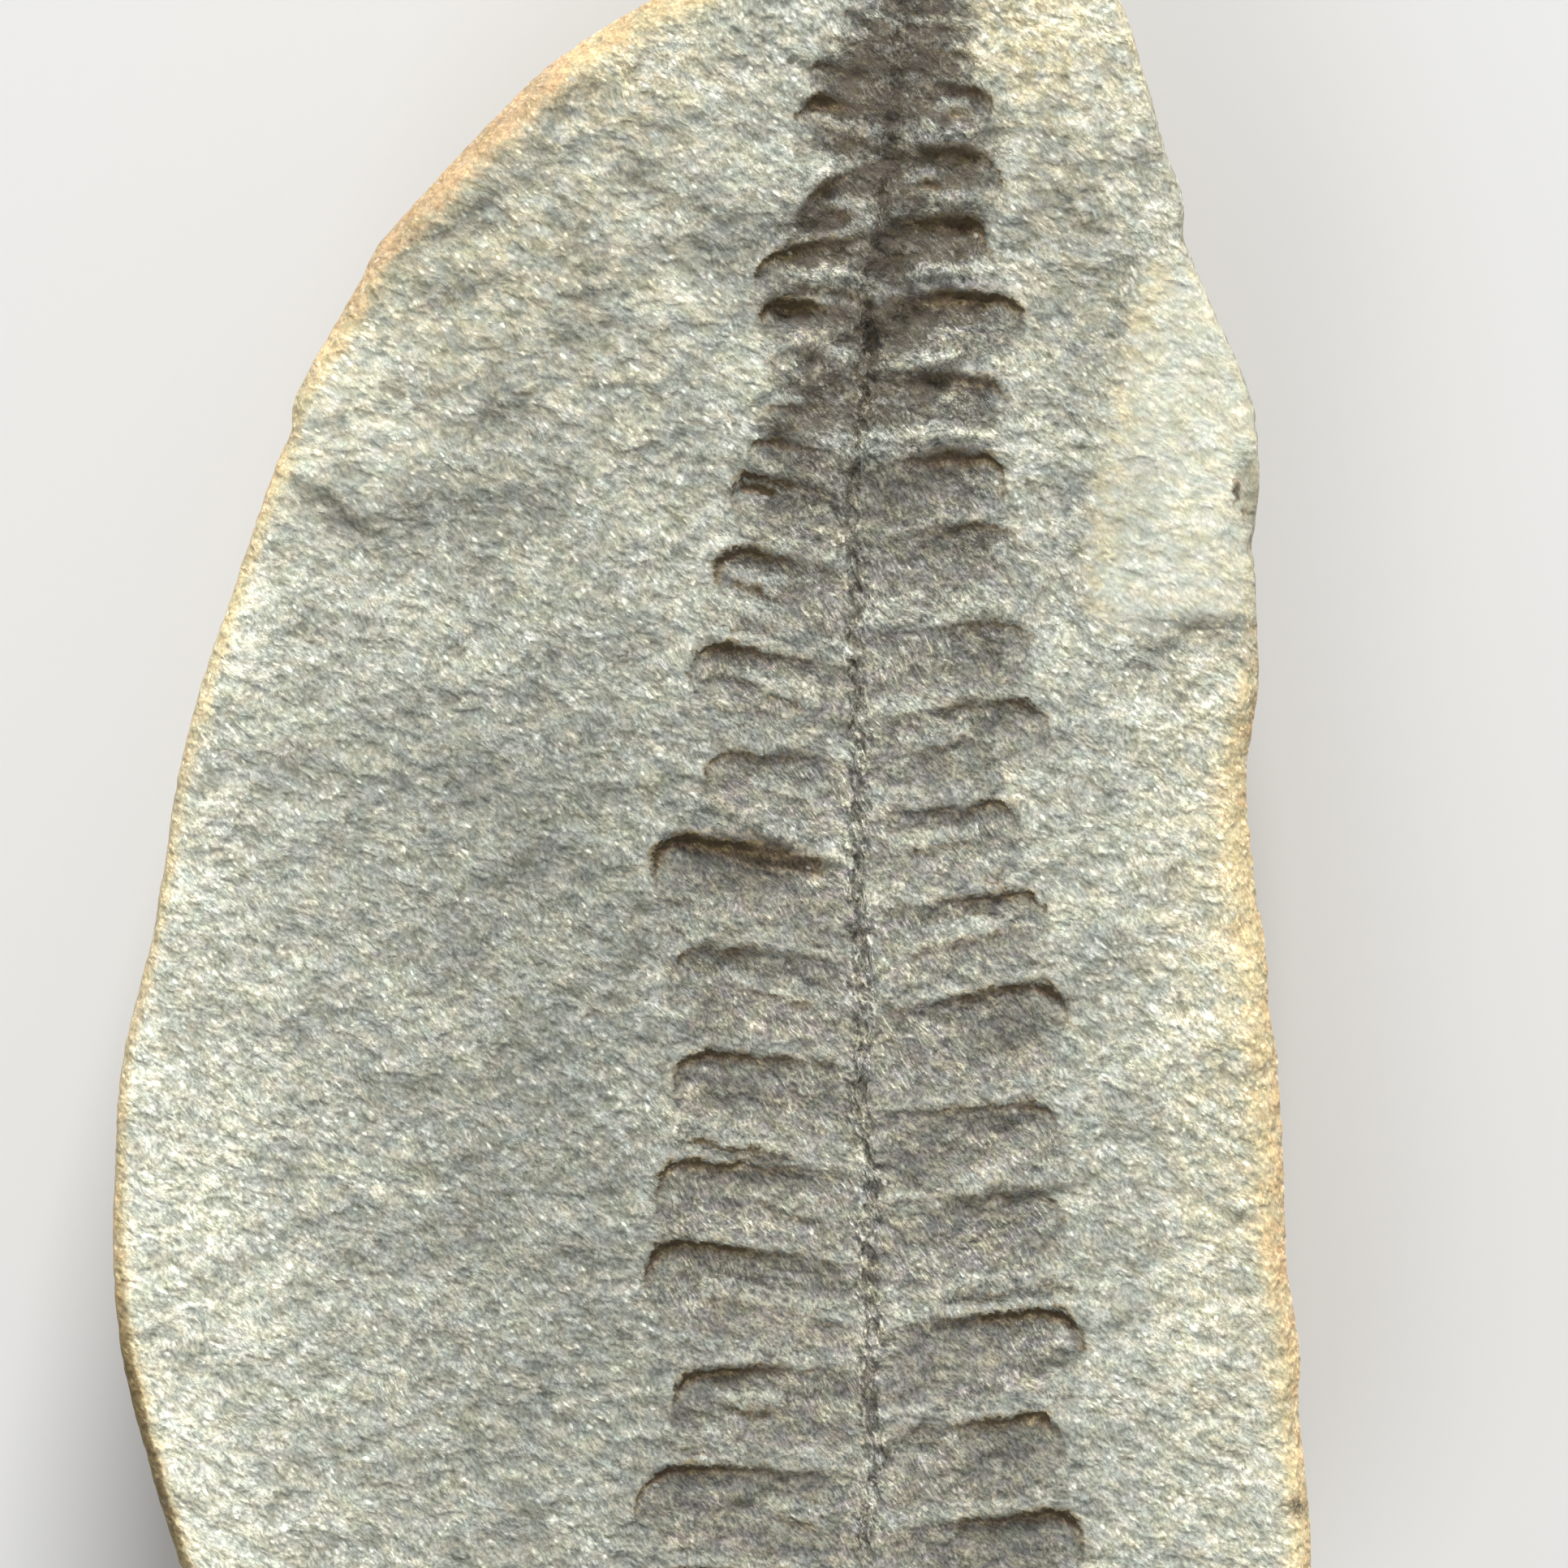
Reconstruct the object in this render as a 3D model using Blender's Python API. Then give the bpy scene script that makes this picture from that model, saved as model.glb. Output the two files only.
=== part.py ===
"""A fern fossil in one half of a split ironstone nodule.

The split face looks up and the frond's tip points along +Y. The frond is a hollow print:
each pinnule has a steep wall along its upper margin and a floor that rises to the lower one.
Lengths are in millimetres until MM turns them into Blender's metres.
"""
import math

import bmesh
import bpy
import numpy as np
from mathutils import Vector, noise

MM = 0.001

# Nodule: the outline is its widest section, counter-clockwise from the right-hand side.
THICKNESS = 12.0  # foot to split face
GIRDLE_HEIGHT = 10.2  # the widest section, a little under the split face
DOME_HEIGHT = 10.0  # of the half that was split away
FOOT_CUT = 0.35  # worn off the lowest point, so that the stone lies still
ROUNDNESS = 0.9  # 1 is an ellipsoid, less is boxier
LUMP_HEIGHT = 0.45
LUMP_LENGTH = 9.0
RING_STEPS, HEIGHT_STEPS = 240, 48
OUTLINE = [
    (18.6, -1.5), (18.1, 1.8), (17.85, 5.0), (18.2, 8.2), (18.1, 11.5), (18.2, 14.5),
    (18.1, 16.4), (17.8, 18.0), (16.4, 21.2), (15.8, 22.8), (15.6, 24.5), (15.0, 26.1),
    (14.1, 29.3), (13.5, 31.0),
    (12.7, 32.3), (11.1, 33.4), (7.9, 34.2), (3.8, 33.4), (0.6, 32.3), (-2.4, 31.0),
    (-5.1, 29.3), (-6.9, 27.7), (-9.9, 24.5), (-11.3, 22.8), (-12.1, 21.2), (-13.95, 18.0),
    (-14.3, 16.4), (-14.9, 14.7), (-16.0, 11.5), (-17.1, 8.2), (-17.9, 5.0), (-18.4, 1.8),
    (-19.1, -1.5), (-19.8, -4.7), (-20.0, -8.0), (-20.05, -11.2), (-19.7, -14.5),
    (-18.9, -17.7), (-17.9, -21.0), (-16.4, -24.7), (-12.7, -29.1), (-6.0, -32.9),
    (2.2, -34.25), (10.8, -32.6), (17.3, -27.7), (19.6, -23.9), (20.0, -20.6),
    (19.6, -16.1), (19.65, -14.3), (19.2, -11.2), (19.1, -8.0), (18.9, -4.7),
]
CURVE_STEPS = 8  # samples between two outline points

# The split face rolls over to the rind along the rim: direction in degrees, breadth.
RIM_BREADTH = [
    (-36, 1.3), (20, 1.2), (27, 0.6), (45, 0.25), (66, 0.4), (85, 1.2), (105, 1.5),
    (118, 0.9), (135, 0.5), (195, 0.5), (220, 0.3), (250, 0.8), (275, 1.1), (305, 1.2),
]
RIM_DROP = 0.8  # of the rim's breadth
# Bites out of the rim: centre x, y, half length along x and y, drop.
RIM_BITES = [
    (18.35, 12.7, 0.85, 1.1, 3.5),
    (16.0, 23.6, 0.5, 0.5, 2.5),
    (-14.6, 17.2, 0.5, 0.6, 2.5),
]
SWELL_HEIGHT = 0.22
SWELL_LENGTH = 13.0
GRID_STEP = 0.28
GRID_HALF_X, GRID_HALF_Y = 21.5, 36.0

# Frond: x, y along the rachis from the top down.
RACHIS = [
    (6.3, 34.5), (6.3, 30.3), (5.85, 26.1), (5.6, 23.7), (5.0, 21.0), (5.15, 18.2),
    (4.5, 13.6), (4.9, 10.8), (4.6, 8.9), (4.9, 6.6), (4.7, 1.7), (5.05, -1.9),
    (4.8, -6.4), (5.35, -8.5), (5.05, -10.4), (5.3, -13.1), (5.15, -15.0), (5.45, -17.5),
    (5.1, -19.6), (5.0, -25.0), (5.2, -34.5),
]
GROOVE_DEPTH = 0.24
GROOVE_HALF_BREADTH = 0.32

# Pinnules from the top down. Each row: height of the upper margin at the rachis, reach of
# the tip from the rachis, rise of the margin to its shoulder, bow, breadth, depth, midvein.
LEFT_PINNULES = [
    (32.6, 1.8, 0.7, 0.0, 0.9, 0.20, 0.0),
    (31.3, 2.0, 0.8, 0.0, 0.9, 0.20, 0.0),
    (29.9, 2.1, 0.8, 0.0, 0.9, 0.20, 0.0),
    (29.3, 2.7, 0.5, 0.0, 1.0, 0.20, 0.0),
    (28.2, 3.0, 0.8, 0.1, 1.1, 0.24, 0.0),
    (27.4, 3.3, 0.3, 0.1, 1.5, 0.40, 0.1),
    (25.8, 2.8, -1.4, 0.1, 1.5, 0.26, 0.0),
    (23.2, 3.8, -0.8, 0.1, 1.5, 0.42, 0.1),
    (20.6, 3.6, 0.2, 0.2, 1.4, 0.42, 0.0),
    (18.6, 3.2, 0.9, 0.1, 1.6, 0.18, 0.0),
    (17.4, 3.5, -0.1, 0.2, 1.0, 0.24, 0.0),
    (15.6, 3.8, 0.9, 0.1, 1.3, 0.28, 0.0),
    (14.3, 4.1, 1.1, 0.1, 1.9, 0.42, 0.1),
    (11.7, 4.8, 1.1, 0.2, 2.3, 0.42, 0.2),
    (8.5, 5.5, 1.1, 0.2, 2.3, 0.36, 0.2),
    (5.5, 5.2, 0.4, 0.1, 1.9, 0.26, 0.2),
    (2.0, 6.8, 1.3, 0.1, 2.5, 0.55, 0.1),
    (-1.2, 6.6, 0.7, 0.1, 2.9, 0.24, 0.2),
    (-4.6, 6.3, 0.6, 0.1, 2.6, 0.38, 0.1),
    (-8.2, 7.3, 0.5, 0.1, 2.5, 0.36, 0.2),
    (-11.3, 7.5, 1.1, 0.1, 3.1, 0.40, 0.2),
    (-14.7, 6.7, 0.0, 0.1, 2.6, 0.34, 0.1),
    (-18.3, 7.8, 0.5, 0.1, 2.9, 0.36, 0.2),
    (-21.8, 7.4, 0.6, 0.1, 2.8, 0.34, 0.2),
    (-25.1, 7.6, 0.4, 0.1, 2.8, 0.34, 0.1),
    (-28.4, 7.2, 0.6, 0.1, 2.7, 0.30, 0.1),
]
RIGHT_PINNULES = [
    (32.4, 1.9, 0.1, 0.1, 0.8, 0.20, 0.0),
    (31.2, 2.2, 0.0, 0.1, 0.9, 0.20, 0.0),
    (30.1, 2.5, -0.1, 0.1, 0.8, 0.20, 0.0),
    (29.3, 2.6, -0.2, 0.1, 0.9, 0.22, 0.0),
    (28.3, 3.3, -0.4, 0.1, 1.4, 0.30, 0.1),
    (25.9, 3.9, -0.2, 0.2, 1.9, 0.32, 0.1),
    (23.6, 3.7, 0.0, 0.1, 1.7, 0.46, 0.0),
    (20.6, 5.3, 0.5, 0.3, 1.9, 0.44, 0.1),
    (18.6, 4.7, -0.3, 0.1, 1.8, 0.26, 0.1),
    (15.2, 5.1, 0.6, 0.3, 2.2, 0.42, 0.1),
    (12.9, 5.5, 0.7, 0.1, 2.0, 0.24, 0.1),
    (9.8, 5.9, 0.5, 0.1, 2.2, 0.24, 0.2),
    (6.9, 6.3, 0.9, 0.1, 2.4, 0.26, 0.2),
    (3.9, 5.5, 0.5, -0.1, 2.3, 0.28, 0.2),
    (0.4, 6.3, 1.0, 0.1, 2.2, 0.30, 0.2),
    (-3.0, 6.8, 1.5, 0.1, 3.1, 0.34, 0.1),
    (-6.1, 6.8, 0.5, -0.1, 2.7, 0.28, 0.1),
    (-9.1, 6.6, 0.5, 0.0, 2.9, 0.26, 0.2),
    (-13.3, 7.1, 0.7, 0.1, 2.7, 0.42, 0.1),
    (-16.8, 6.3, 0.9, -0.1, 2.6, 0.34, 0.1),
    (-20.2, 7.3, 1.0, 0.1, 2.8, 0.38, 0.2),
    (-23.6, 7.0, 0.8, 0.1, 2.7, 0.34, 0.1),
    (-27.0, 7.2, 0.9, 0.1, 2.7, 0.34, 0.2),
    (-30.2, 6.6, 0.8, 0.1, 2.4, 0.28, 0.1),
]
TIP_ROUND = 0.55  # of the breadth is the length of the rounded tip
UPPER_WALL, LOWER_WALL = 0.32, 1.2  # breadths of the walls round a pinnule
LOWER_SHARE = 0.1  # of the depth is left at the lower margin
ROOT_FADE = 1.0  # the print starts softly this far from the rachis

# Scars: start x, y, end x, y, breadth, depth. The wall lies along the line, and the
# floor rises to the right of the way from end to start.
SCARS = [
    (-13.6, 15.2, -10.9, 13.0, 1.8, 0.35),
    (-10.9, 13.1, -8.6, 14.4, 1.3, 0.25),
    (13.6, 8.7, 16.0, 10.3, 1.6, 0.28),
    (15.8, 10.3, 17.8, 10.5, 1.6, 0.30),
    (12.9, 21.7, 14.0, 20.7, 0.8, 0.20),
    (17.6, 13.5, 17.3, 15.4, 1.0, 0.55),
    (-0.5, 4.3, 2.8, 2.8, 0.9, 0.30),
    (-0.5, -7.0, 2.7, -7.6, 0.7, 0.18),
    (7.5, -12.3, 11.7, -11.9, 0.6, 0.20),
    (-0.1, -16.1, 0.8, -16.2, 0.6, 0.25),
    (-10.6, -8.5, -9.5, -8.0, 0.6, 0.20),
    (-14.3, -4.0, -13.7, -4.3, 0.5, 0.20),
    (-3.3, -17.2, -2.3, -17.0, 0.5, 0.20),
    (18.7, -19.1, 19.9, -19.3, 0.5, 0.35),
]
SCAR_WALL = 0.3

TRIANGLES = 9600
STONE_COLOUR = (0.36, 0.37, 0.33, 1.0)
STONE_ROUGHNESS = 0.9


def smooth(start, end, value):
    """0 at start, 1 at end, with an S-shaped rise between them."""
    share = np.clip((value - start) / (end - start), 0.0, 1.0)
    return share * share * (3.0 - 2.0 * share)


def noise_at(points, length, octaves):
    """Fractal noise of about -1 to 1 with lumps of the given length."""
    scaled = np.asarray(points) / length
    return np.array([noise.fractal(Vector(p), 1.0, 2.0, octaves) for p in scaled])


def outline_radius(angle):
    """Distance from the centre to the smooth closed curve through the outline points."""
    here = np.array(OUTLINE)
    before, after, beyond = (np.roll(here, shift, axis=0) for shift in (1, -1, -2))
    share = np.linspace(0.0, 1.0, CURVE_STEPS, endpoint=False)[:, None, None]
    curve = 0.5 * (
        2.0 * here
        + (after - before) * share
        + (2.0 * before - 5.0 * here + 4.0 * after - beyond) * share**2
        + (3.0 * here - before - 3.0 * after + beyond) * share**3
    )
    x, y = curve.reshape(-1, 2).T
    return np.interp(angle, np.arctan2(y, x), np.hypot(x, y), period=2.0 * math.pi)


def rachis_x(y):
    x_points, y_points = np.array(RACHIS)[::-1].T
    return np.interp(y, y_points, x_points)


def pinnule_depth(out, y, row):
    """Depth of one pinnule's print, with out measured from the rachis towards its tip."""
    base, reach, rise, bow, breadth, depth, vein = row
    share = np.clip(out / reach, 0.0, 1.5)
    half = breadth / 2.0
    middle = base + rise * share + 4.0 * bow * share * (1.0 - share) - half
    across = (y - middle) / half
    tip = np.clip((out - reach) / (TIP_ROUND * breadth) + 1.0, 0.0, None)
    inside = half * (1.0 - np.hypot(tip, across))
    height = np.clip((across + 1.0) / 2.0, 0.0, 1.0)
    wall_breadth = LOWER_WALL + (UPPER_WALL - LOWER_WALL) * height
    wall = smooth(0.0, wall_breadth, inside + UPPER_WALL / 2.0)
    floor = LOWER_SHARE + (1.0 - LOWER_SHARE) * height
    step = vein * (across + 1.0) * smooth(0.1, -0.1, across)
    return depth * wall * (floor + step) * smooth(0.0, ROOT_FADE, out)


def scar_depth(x, y, row):
    """Depth of a scar with a steep wall along its line and a floor that rises from it."""
    start_x, start_y, end_x, end_y, breadth, depth = row
    length = math.hypot(end_x - start_x, end_y - start_y)
    way_x, way_y = (end_x - start_x) / length, (end_y - start_y) / length
    along = (x - start_x) * way_x + (y - start_y) * way_y
    beside = (x - start_x) * way_y - (y - start_y) * way_x
    ends = smooth(-breadth / 2, breadth / 2, along) * smooth(-breadth / 2, breadth / 2, length - along)
    return depth * ends * smooth(0.0, SCAR_WALL, beside) * np.clip(1.0 - beside / breadth, 0.0, 1.0)


def bite_depth(x, y, row):
    centre_x, centre_y, half_x, half_y, drop = row
    return drop * smooth(1.0, 0.6, np.hypot((x - centre_x) / half_x, (y - centre_y) / half_y))


def frond_depth(x, y):
    """Depth of the whole frond: the rachis groove and every pinnule."""
    out = x - rachis_x(y)
    deep = GROOVE_DEPTH * smooth(GROOVE_HALF_BREADTH, 0.0, np.abs(out))
    for side, rows in ((-1.0, LEFT_PINNULES), (1.0, RIGHT_PINNULES)):
        for row in rows:
            deep = np.maximum(deep, pinnule_depth(side * out, y, row))
    return deep


def face_height(x, y):
    """Height of the split face over the foot."""
    angle = np.arctan2(y, x)
    rim = outline_radius(angle) - np.hypot(x, y)
    directions, breadths = zip(*RIM_BREADTH)
    breadth = np.interp(np.degrees(angle), directions, breadths, period=360.0)
    roll = RIM_DROP * breadth * np.clip(1.0 - rim / breadth, 0.0, 1.5) ** 2
    swell = SWELL_HEIGHT * noise_at(np.column_stack([x, y, 0.0 * x]), SWELL_LENGTH, 3)
    scars = np.max([scar_depth(x, y, row) for row in SCARS], axis=0)
    bites = np.max([bite_depth(x, y, row) for row in RIM_BITES], axis=0)
    return THICKNESS + swell - roll - bites - np.maximum(frond_depth(x, y), scars)


def vertex_places(mesh):
    places = np.empty(3 * len(mesh.vertices), np.float32)
    mesh.vertices.foreach_get("co", places)
    return places.reshape(-1, 3).astype(float)


def object_from(name, build, collection):
    """An object whose mesh the build function fills through bmesh."""
    mesh = bpy.data.meshes.new(name)
    made = bmesh.new()
    build(made)
    made.to_mesh(mesh)
    made.free()
    obj = bpy.data.objects.new(name, mesh)
    collection.objects.link(obj)
    return obj


def new_collection(name):
    collection = bpy.data.collections.new(name)
    bpy.context.scene.collection.children.link(collection)
    return collection


def make_nodule(collection):
    """The whole nodule: a sphere pulled out to the outline, with soft lumps in its rind."""

    def ball(made):
        bmesh.ops.create_uvsphere(made, u_segments=RING_STEPS, v_segments=HEIGHT_STEPS, radius=1.0)

    nodule = object_from("fossil_stone", ball, collection)
    unit = vertex_places(nodule.data)
    angle = np.arctan2(unit[:, 1], unit[:, 0])
    spread = np.clip(np.hypot(unit[:, 0], unit[:, 1]), 0.0, 1.0) ** ROUNDNESS
    level = np.sign(unit[:, 2]) * np.abs(unit[:, 2]) ** ROUNDNESS
    tall = np.where(level > 0.0, DOME_HEIGHT, GIRDLE_HEIGHT + FOOT_CUT)
    radius = outline_radius(angle) * spread
    places = np.column_stack([radius * np.cos(angle), radius * np.sin(angle), tall * level])
    lumps = LUMP_HEIGHT * noise_at(places, LUMP_LENGTH, 3) * (1.0 - spread**8)
    places *= 1.0 + (lumps / np.linalg.norm(places, axis=1))[:, None]
    places[:, 2] += GIRDLE_HEIGHT
    nodule.data.vertices.foreach_set("co", (places * MM).ravel())
    nodule.data.shade_smooth()
    return nodule


def make_counterpart(collection):
    """The half that came away: everything over the split face, used as the cutter."""

    def block(made):
        bmesh.ops.create_grid(
            made,
            x_segments=round(2 * GRID_HALF_X / GRID_STEP),
            y_segments=round(2 * GRID_HALF_Y / GRID_STEP),
            size=1.0,
        )
        x, y = np.array([v.co[:2] for v in made.verts]).T * [[GRID_HALF_X], [GRID_HALF_Y]]
        for vert, place in zip(made.verts, np.column_stack([x, y, face_height(x, y)])):
            vert.co = place * MM
        lifted = bmesh.ops.extrude_face_region(made, geom=made.faces[:])["geom"]
        for item in lifted:
            if isinstance(item, bmesh.types.BMVert):
                item.co.z = 2.0 * THICKNESS * MM
        bmesh.ops.recalc_face_normals(made, faces=made.faces[:])

    return object_from("counterpart", block, collection)


def make_ground(collection):
    """The block under the foot."""

    def block(made):
        bmesh.ops.create_cube(made, size=1.0)
        depth = 10.0 * FOOT_CUT
        bmesh.ops.scale(made, vec=Vector((3 * GRID_HALF_X, 3 * GRID_HALF_Y, depth)) * MM, verts=made.verts)
        bmesh.ops.translate(made, vec=Vector((0.0, 0.0, -depth / 2)) * MM, verts=made.verts)

    return object_from("ground", block, collection)


def cut(obj, name, cutter):
    cutter.hide_render = True
    cutter.display_type = "WIRE"
    modifier = obj.modifiers.new(name, "BOOLEAN")
    modifier.operation = "DIFFERENCE"
    modifier.solver = "EXACT"
    modifier.object = cutter


def thin_out(obj, triangles):
    """Keeps about that many triangles, most of them where the surface bends."""
    mesh = obj.evaluated_get(bpy.context.evaluated_depsgraph_get()).data
    corners = sum(len(face.vertices) - 2 for face in mesh.polygons)
    modifier = obj.modifiers.new("Thin out", "DECIMATE")
    modifier.ratio = triangles / corners


def stone_material():
    material = bpy.data.materials.new("stone")
    material.use_nodes = True
    shader = material.node_tree.nodes["Principled BSDF"]
    shader.inputs["Base Color"].default_value = STONE_COLOUR
    shader.inputs["Roughness"].default_value = STONE_ROUGHNESS
    shader.inputs["Metallic"].default_value = 0.0
    return material


def main():
    for obj in list(bpy.data.objects):
        bpy.data.objects.remove(obj, do_unlink=True)
    parts = new_collection("fossil_fern_plate")
    cutters = new_collection("cutters")
    nodule = make_nodule(parts)
    nodule.data.materials.append(stone_material())
    cut(nodule, "Split", make_counterpart(cutters))
    thin_out(nodule, TRIANGLES)
    cut(nodule, "Foot", make_ground(cutters))


main()
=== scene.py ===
"""The looks of the fern fossil: the split face's grain, the frond's dark print and the rind.

The camera looks straight down on the split face, with the frond's tip towards +Y.
Lengths are in millimetres until MM turns them into metres.
"""

import math
from types import SimpleNamespace

import bmesh
import bpy
import numpy as np
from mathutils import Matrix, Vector, noise
from mathutils.geometry import delaunay_2d_cdt


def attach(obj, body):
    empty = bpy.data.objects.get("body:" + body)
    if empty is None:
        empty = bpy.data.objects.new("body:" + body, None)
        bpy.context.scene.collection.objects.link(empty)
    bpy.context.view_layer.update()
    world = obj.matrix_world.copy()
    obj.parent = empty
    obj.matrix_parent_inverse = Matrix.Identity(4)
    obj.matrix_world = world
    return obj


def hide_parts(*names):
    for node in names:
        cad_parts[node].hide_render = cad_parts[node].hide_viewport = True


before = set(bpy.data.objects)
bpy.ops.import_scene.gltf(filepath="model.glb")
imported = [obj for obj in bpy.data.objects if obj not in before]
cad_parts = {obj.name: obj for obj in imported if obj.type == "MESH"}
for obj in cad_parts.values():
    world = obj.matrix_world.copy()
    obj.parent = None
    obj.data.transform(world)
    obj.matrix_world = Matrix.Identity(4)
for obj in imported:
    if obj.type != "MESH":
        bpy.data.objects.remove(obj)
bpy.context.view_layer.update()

MM = 0.001
STONE_NODE = "fossil_stone"
STONE_PIECE = "stone_with_print"

# The photograph's frame, for placing the camera.
PHOTO_SIDE = 52.216  # millimetres across the frame at the split face
PHOTO_CENTRE = (2.324, 4.838)
LENS, SENSOR = 180.0, 36.0
NEAREST_VIEW = 0.005  # metres

# Nodule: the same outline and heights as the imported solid.
THICKNESS = 12.0
GIRDLE_HEIGHT = 10.2
DOME_HEIGHT = 10.0
FOOT_CUT = 0.35
ROUNDNESS = 0.9
RIM_SHARE = math.cos(0.09)  # radius of the split face's edge, as a share of the girdle's
LUMP_HEIGHT = 0.45
LUMP_LENGTH = 9.0
LUMP_POWER = 8  # how fast the lumps fade towards the girdle
BACK_ROUGHNESS, BACK_LENGTH = 0.12, 1.6
BACK_NOISE_SHIFT = 31.0  # so that the fine lumps don't follow the large ones
RIM_FADE_STEPS = 5.0  # steps down the side over which the rim's notches fade out
OUTLINE = [
    (18.6, -1.5), (18.1, 1.8), (17.85, 5.0), (18.2, 8.2), (18.1, 11.5), (18.2, 14.5),
    (18.1, 16.4), (17.8, 18.0), (16.4, 21.2), (15.8, 22.8), (15.6, 24.5), (15.0, 26.1),
    (14.1, 29.3), (13.5, 31.0),
    (12.7, 32.3), (11.1, 33.4), (7.9, 34.2), (3.8, 33.4), (0.6, 32.3), (-2.4, 31.0),
    (-5.1, 29.3), (-6.9, 27.7), (-9.9, 24.5), (-11.3, 22.8), (-12.1, 21.2), (-13.95, 18.0),
    (-14.3, 16.4), (-14.9, 14.7), (-16.0, 11.5), (-17.1, 8.2), (-17.9, 5.0), (-18.4, 1.8),
    (-19.1, -1.5), (-19.8, -4.7), (-20.0, -8.0), (-20.05, -11.2), (-19.7, -14.5),
    (-18.9, -17.7), (-17.9, -21.0), (-16.4, -24.7), (-12.7, -29.1), (-6.0, -32.9),
    (2.2, -34.25), (10.8, -32.6), (17.3, -27.7), (19.6, -23.9), (20.0, -20.6),
    (19.6, -16.1), (19.65, -14.3), (19.2, -11.2), (19.1, -8.0), (18.9, -4.7),
]
CURVE_STEPS = 8  # samples between two outline points
EDGE_ROUGHNESS = 0.06
EDGE_LENGTH = 0.5

# Rim: direction in degrees and the breadth over which the face rolls off.
RIM = [
    (-36, 1.3), (20, 1.2), (27, 0.6), (45, 0.25), (66, 0.4), (85, 1.2), (105, 1.5),
    (118, 0.9), (135, 0.5), (195, 0.5), (220, 0.3), (250, 0.8), (275, 1.1), (305, 1.2),
]
# Rind: direction in degrees, breadth, shares of ochre, pink and dark olive, the olive being olive-brown
# rind with painted shade where the side is in shadow, its tone, and the change of tone of the margin
# beside it.
RIND = [
    (-54, 1.05, 1.0, 0.1, 0.0, 0.72, 0.12),
    (-30, 1.05, 1.0, 0.4, 0.0, 0.70, 0.12),
    (0, 0.95, 1.0, 0.1, 0.0, 0.72, 0.08),
    (20, 0.85, 1.0, 0.2, 0.0, 0.72, 0.06),
    (27, 0.60, 0.5, 0.2, 0.0, 0.62, -0.08),
    (34, 0.35, 0.3, 0.0, 0.0, 0.60, 0.0),
    (45, 0.20, 0.1, 0.0, 0.0, 0.64, 0.0),
    (58, 0.30, 0.1, 0.0, 0.0, 0.60, 0.0),
    (66, 0.35, 0.3, 0.0, 0.0, 0.60, -0.06),
    (80, 0.90, 0.8, 0.1, 0.0, 0.60, 0.02),
    (92, 1.00, 1.0, 0.2, 0.0, 0.60, 0.06),
    (104, 1.10, 1.0, 1.0, 0.0, 0.52, 0.04),
    (114, 0.90, 1.0, 0.9, 0.0, 0.46, 0.0),
    (122, 0.70, 0.9, 0.4, 0.0, 0.56, 0.04),
    (130, 0.60, 0.8, 0.2, 0.0, 0.60, 0.04),
    (138, 0.40, 0.8, 0.3, 0.0, 0.64, 0.18),
    (148, 0.38, 0.8, 0.1, 0.0, 0.64, 0.14),
    (156, 0.45, 0.7, 0.0, 0.0, 0.62, 0.08),
    (166, 0.35, 0.6, 0.1, 0.0, 0.62, 0.10),
    (180, 0.35, 0.7, 0.1, 0.0, 0.60, 0.15),
    (200, 0.35, 0.7, 0.2, 0.0, 0.59, 0.10),
    (209, 0.45, 0.9, 0.3, 0.2, 0.60, 0.10),
    (217, 0.55, 0.9, 0.0, 1.0, 0.60, 0.06),
    (226, 0.50, 0.7, 0.0, 1.0, 0.60, 0.06),
    (245, 0.60, 1.0, 0.1, 0.3, 0.60, 0.06),
    (280, 0.95, 1.0, 0.2, 0.0, 0.70, 0.10),
]
MARGIN_BREADTH = 1.6
RIM_DROP = 0.8  # of the rim's breadth
# Notches in the rim: direction in degrees, half breadth in degrees, depth.
NOTCHES = [
    (35.6, 1.7, 0.45), (56.0, 0.8, 0.28), (130.3, 0.8, 0.25), (-8.0, 2.5, 0.18),
    (180.0, 3.0, 0.15),
]
SWELL_HEIGHT = 0.22
SWELL_LENGTH = 13.0

# Frond: x, y along the rachis from the top down.
RACHIS = [
    (6.3, 34.5), (6.3, 30.3), (5.85, 26.1), (5.6, 23.7), (5.0, 21.0), (5.15, 18.2),
    (4.5, 13.6), (4.9, 10.8), (4.6, 8.9), (4.9, 6.6), (4.7, 1.7), (5.05, -1.9),
    (4.8, -6.4), (5.35, -8.5), (5.05, -10.4), (5.3, -13.1), (5.15, -15.0), (5.45, -17.5),
    (5.1, -19.6), (5.0, -25.0), (5.2, -34.5),
]
GROOVE_DEPTH = 0.24
GROOVE_HALF_BREADTH = 0.32

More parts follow.
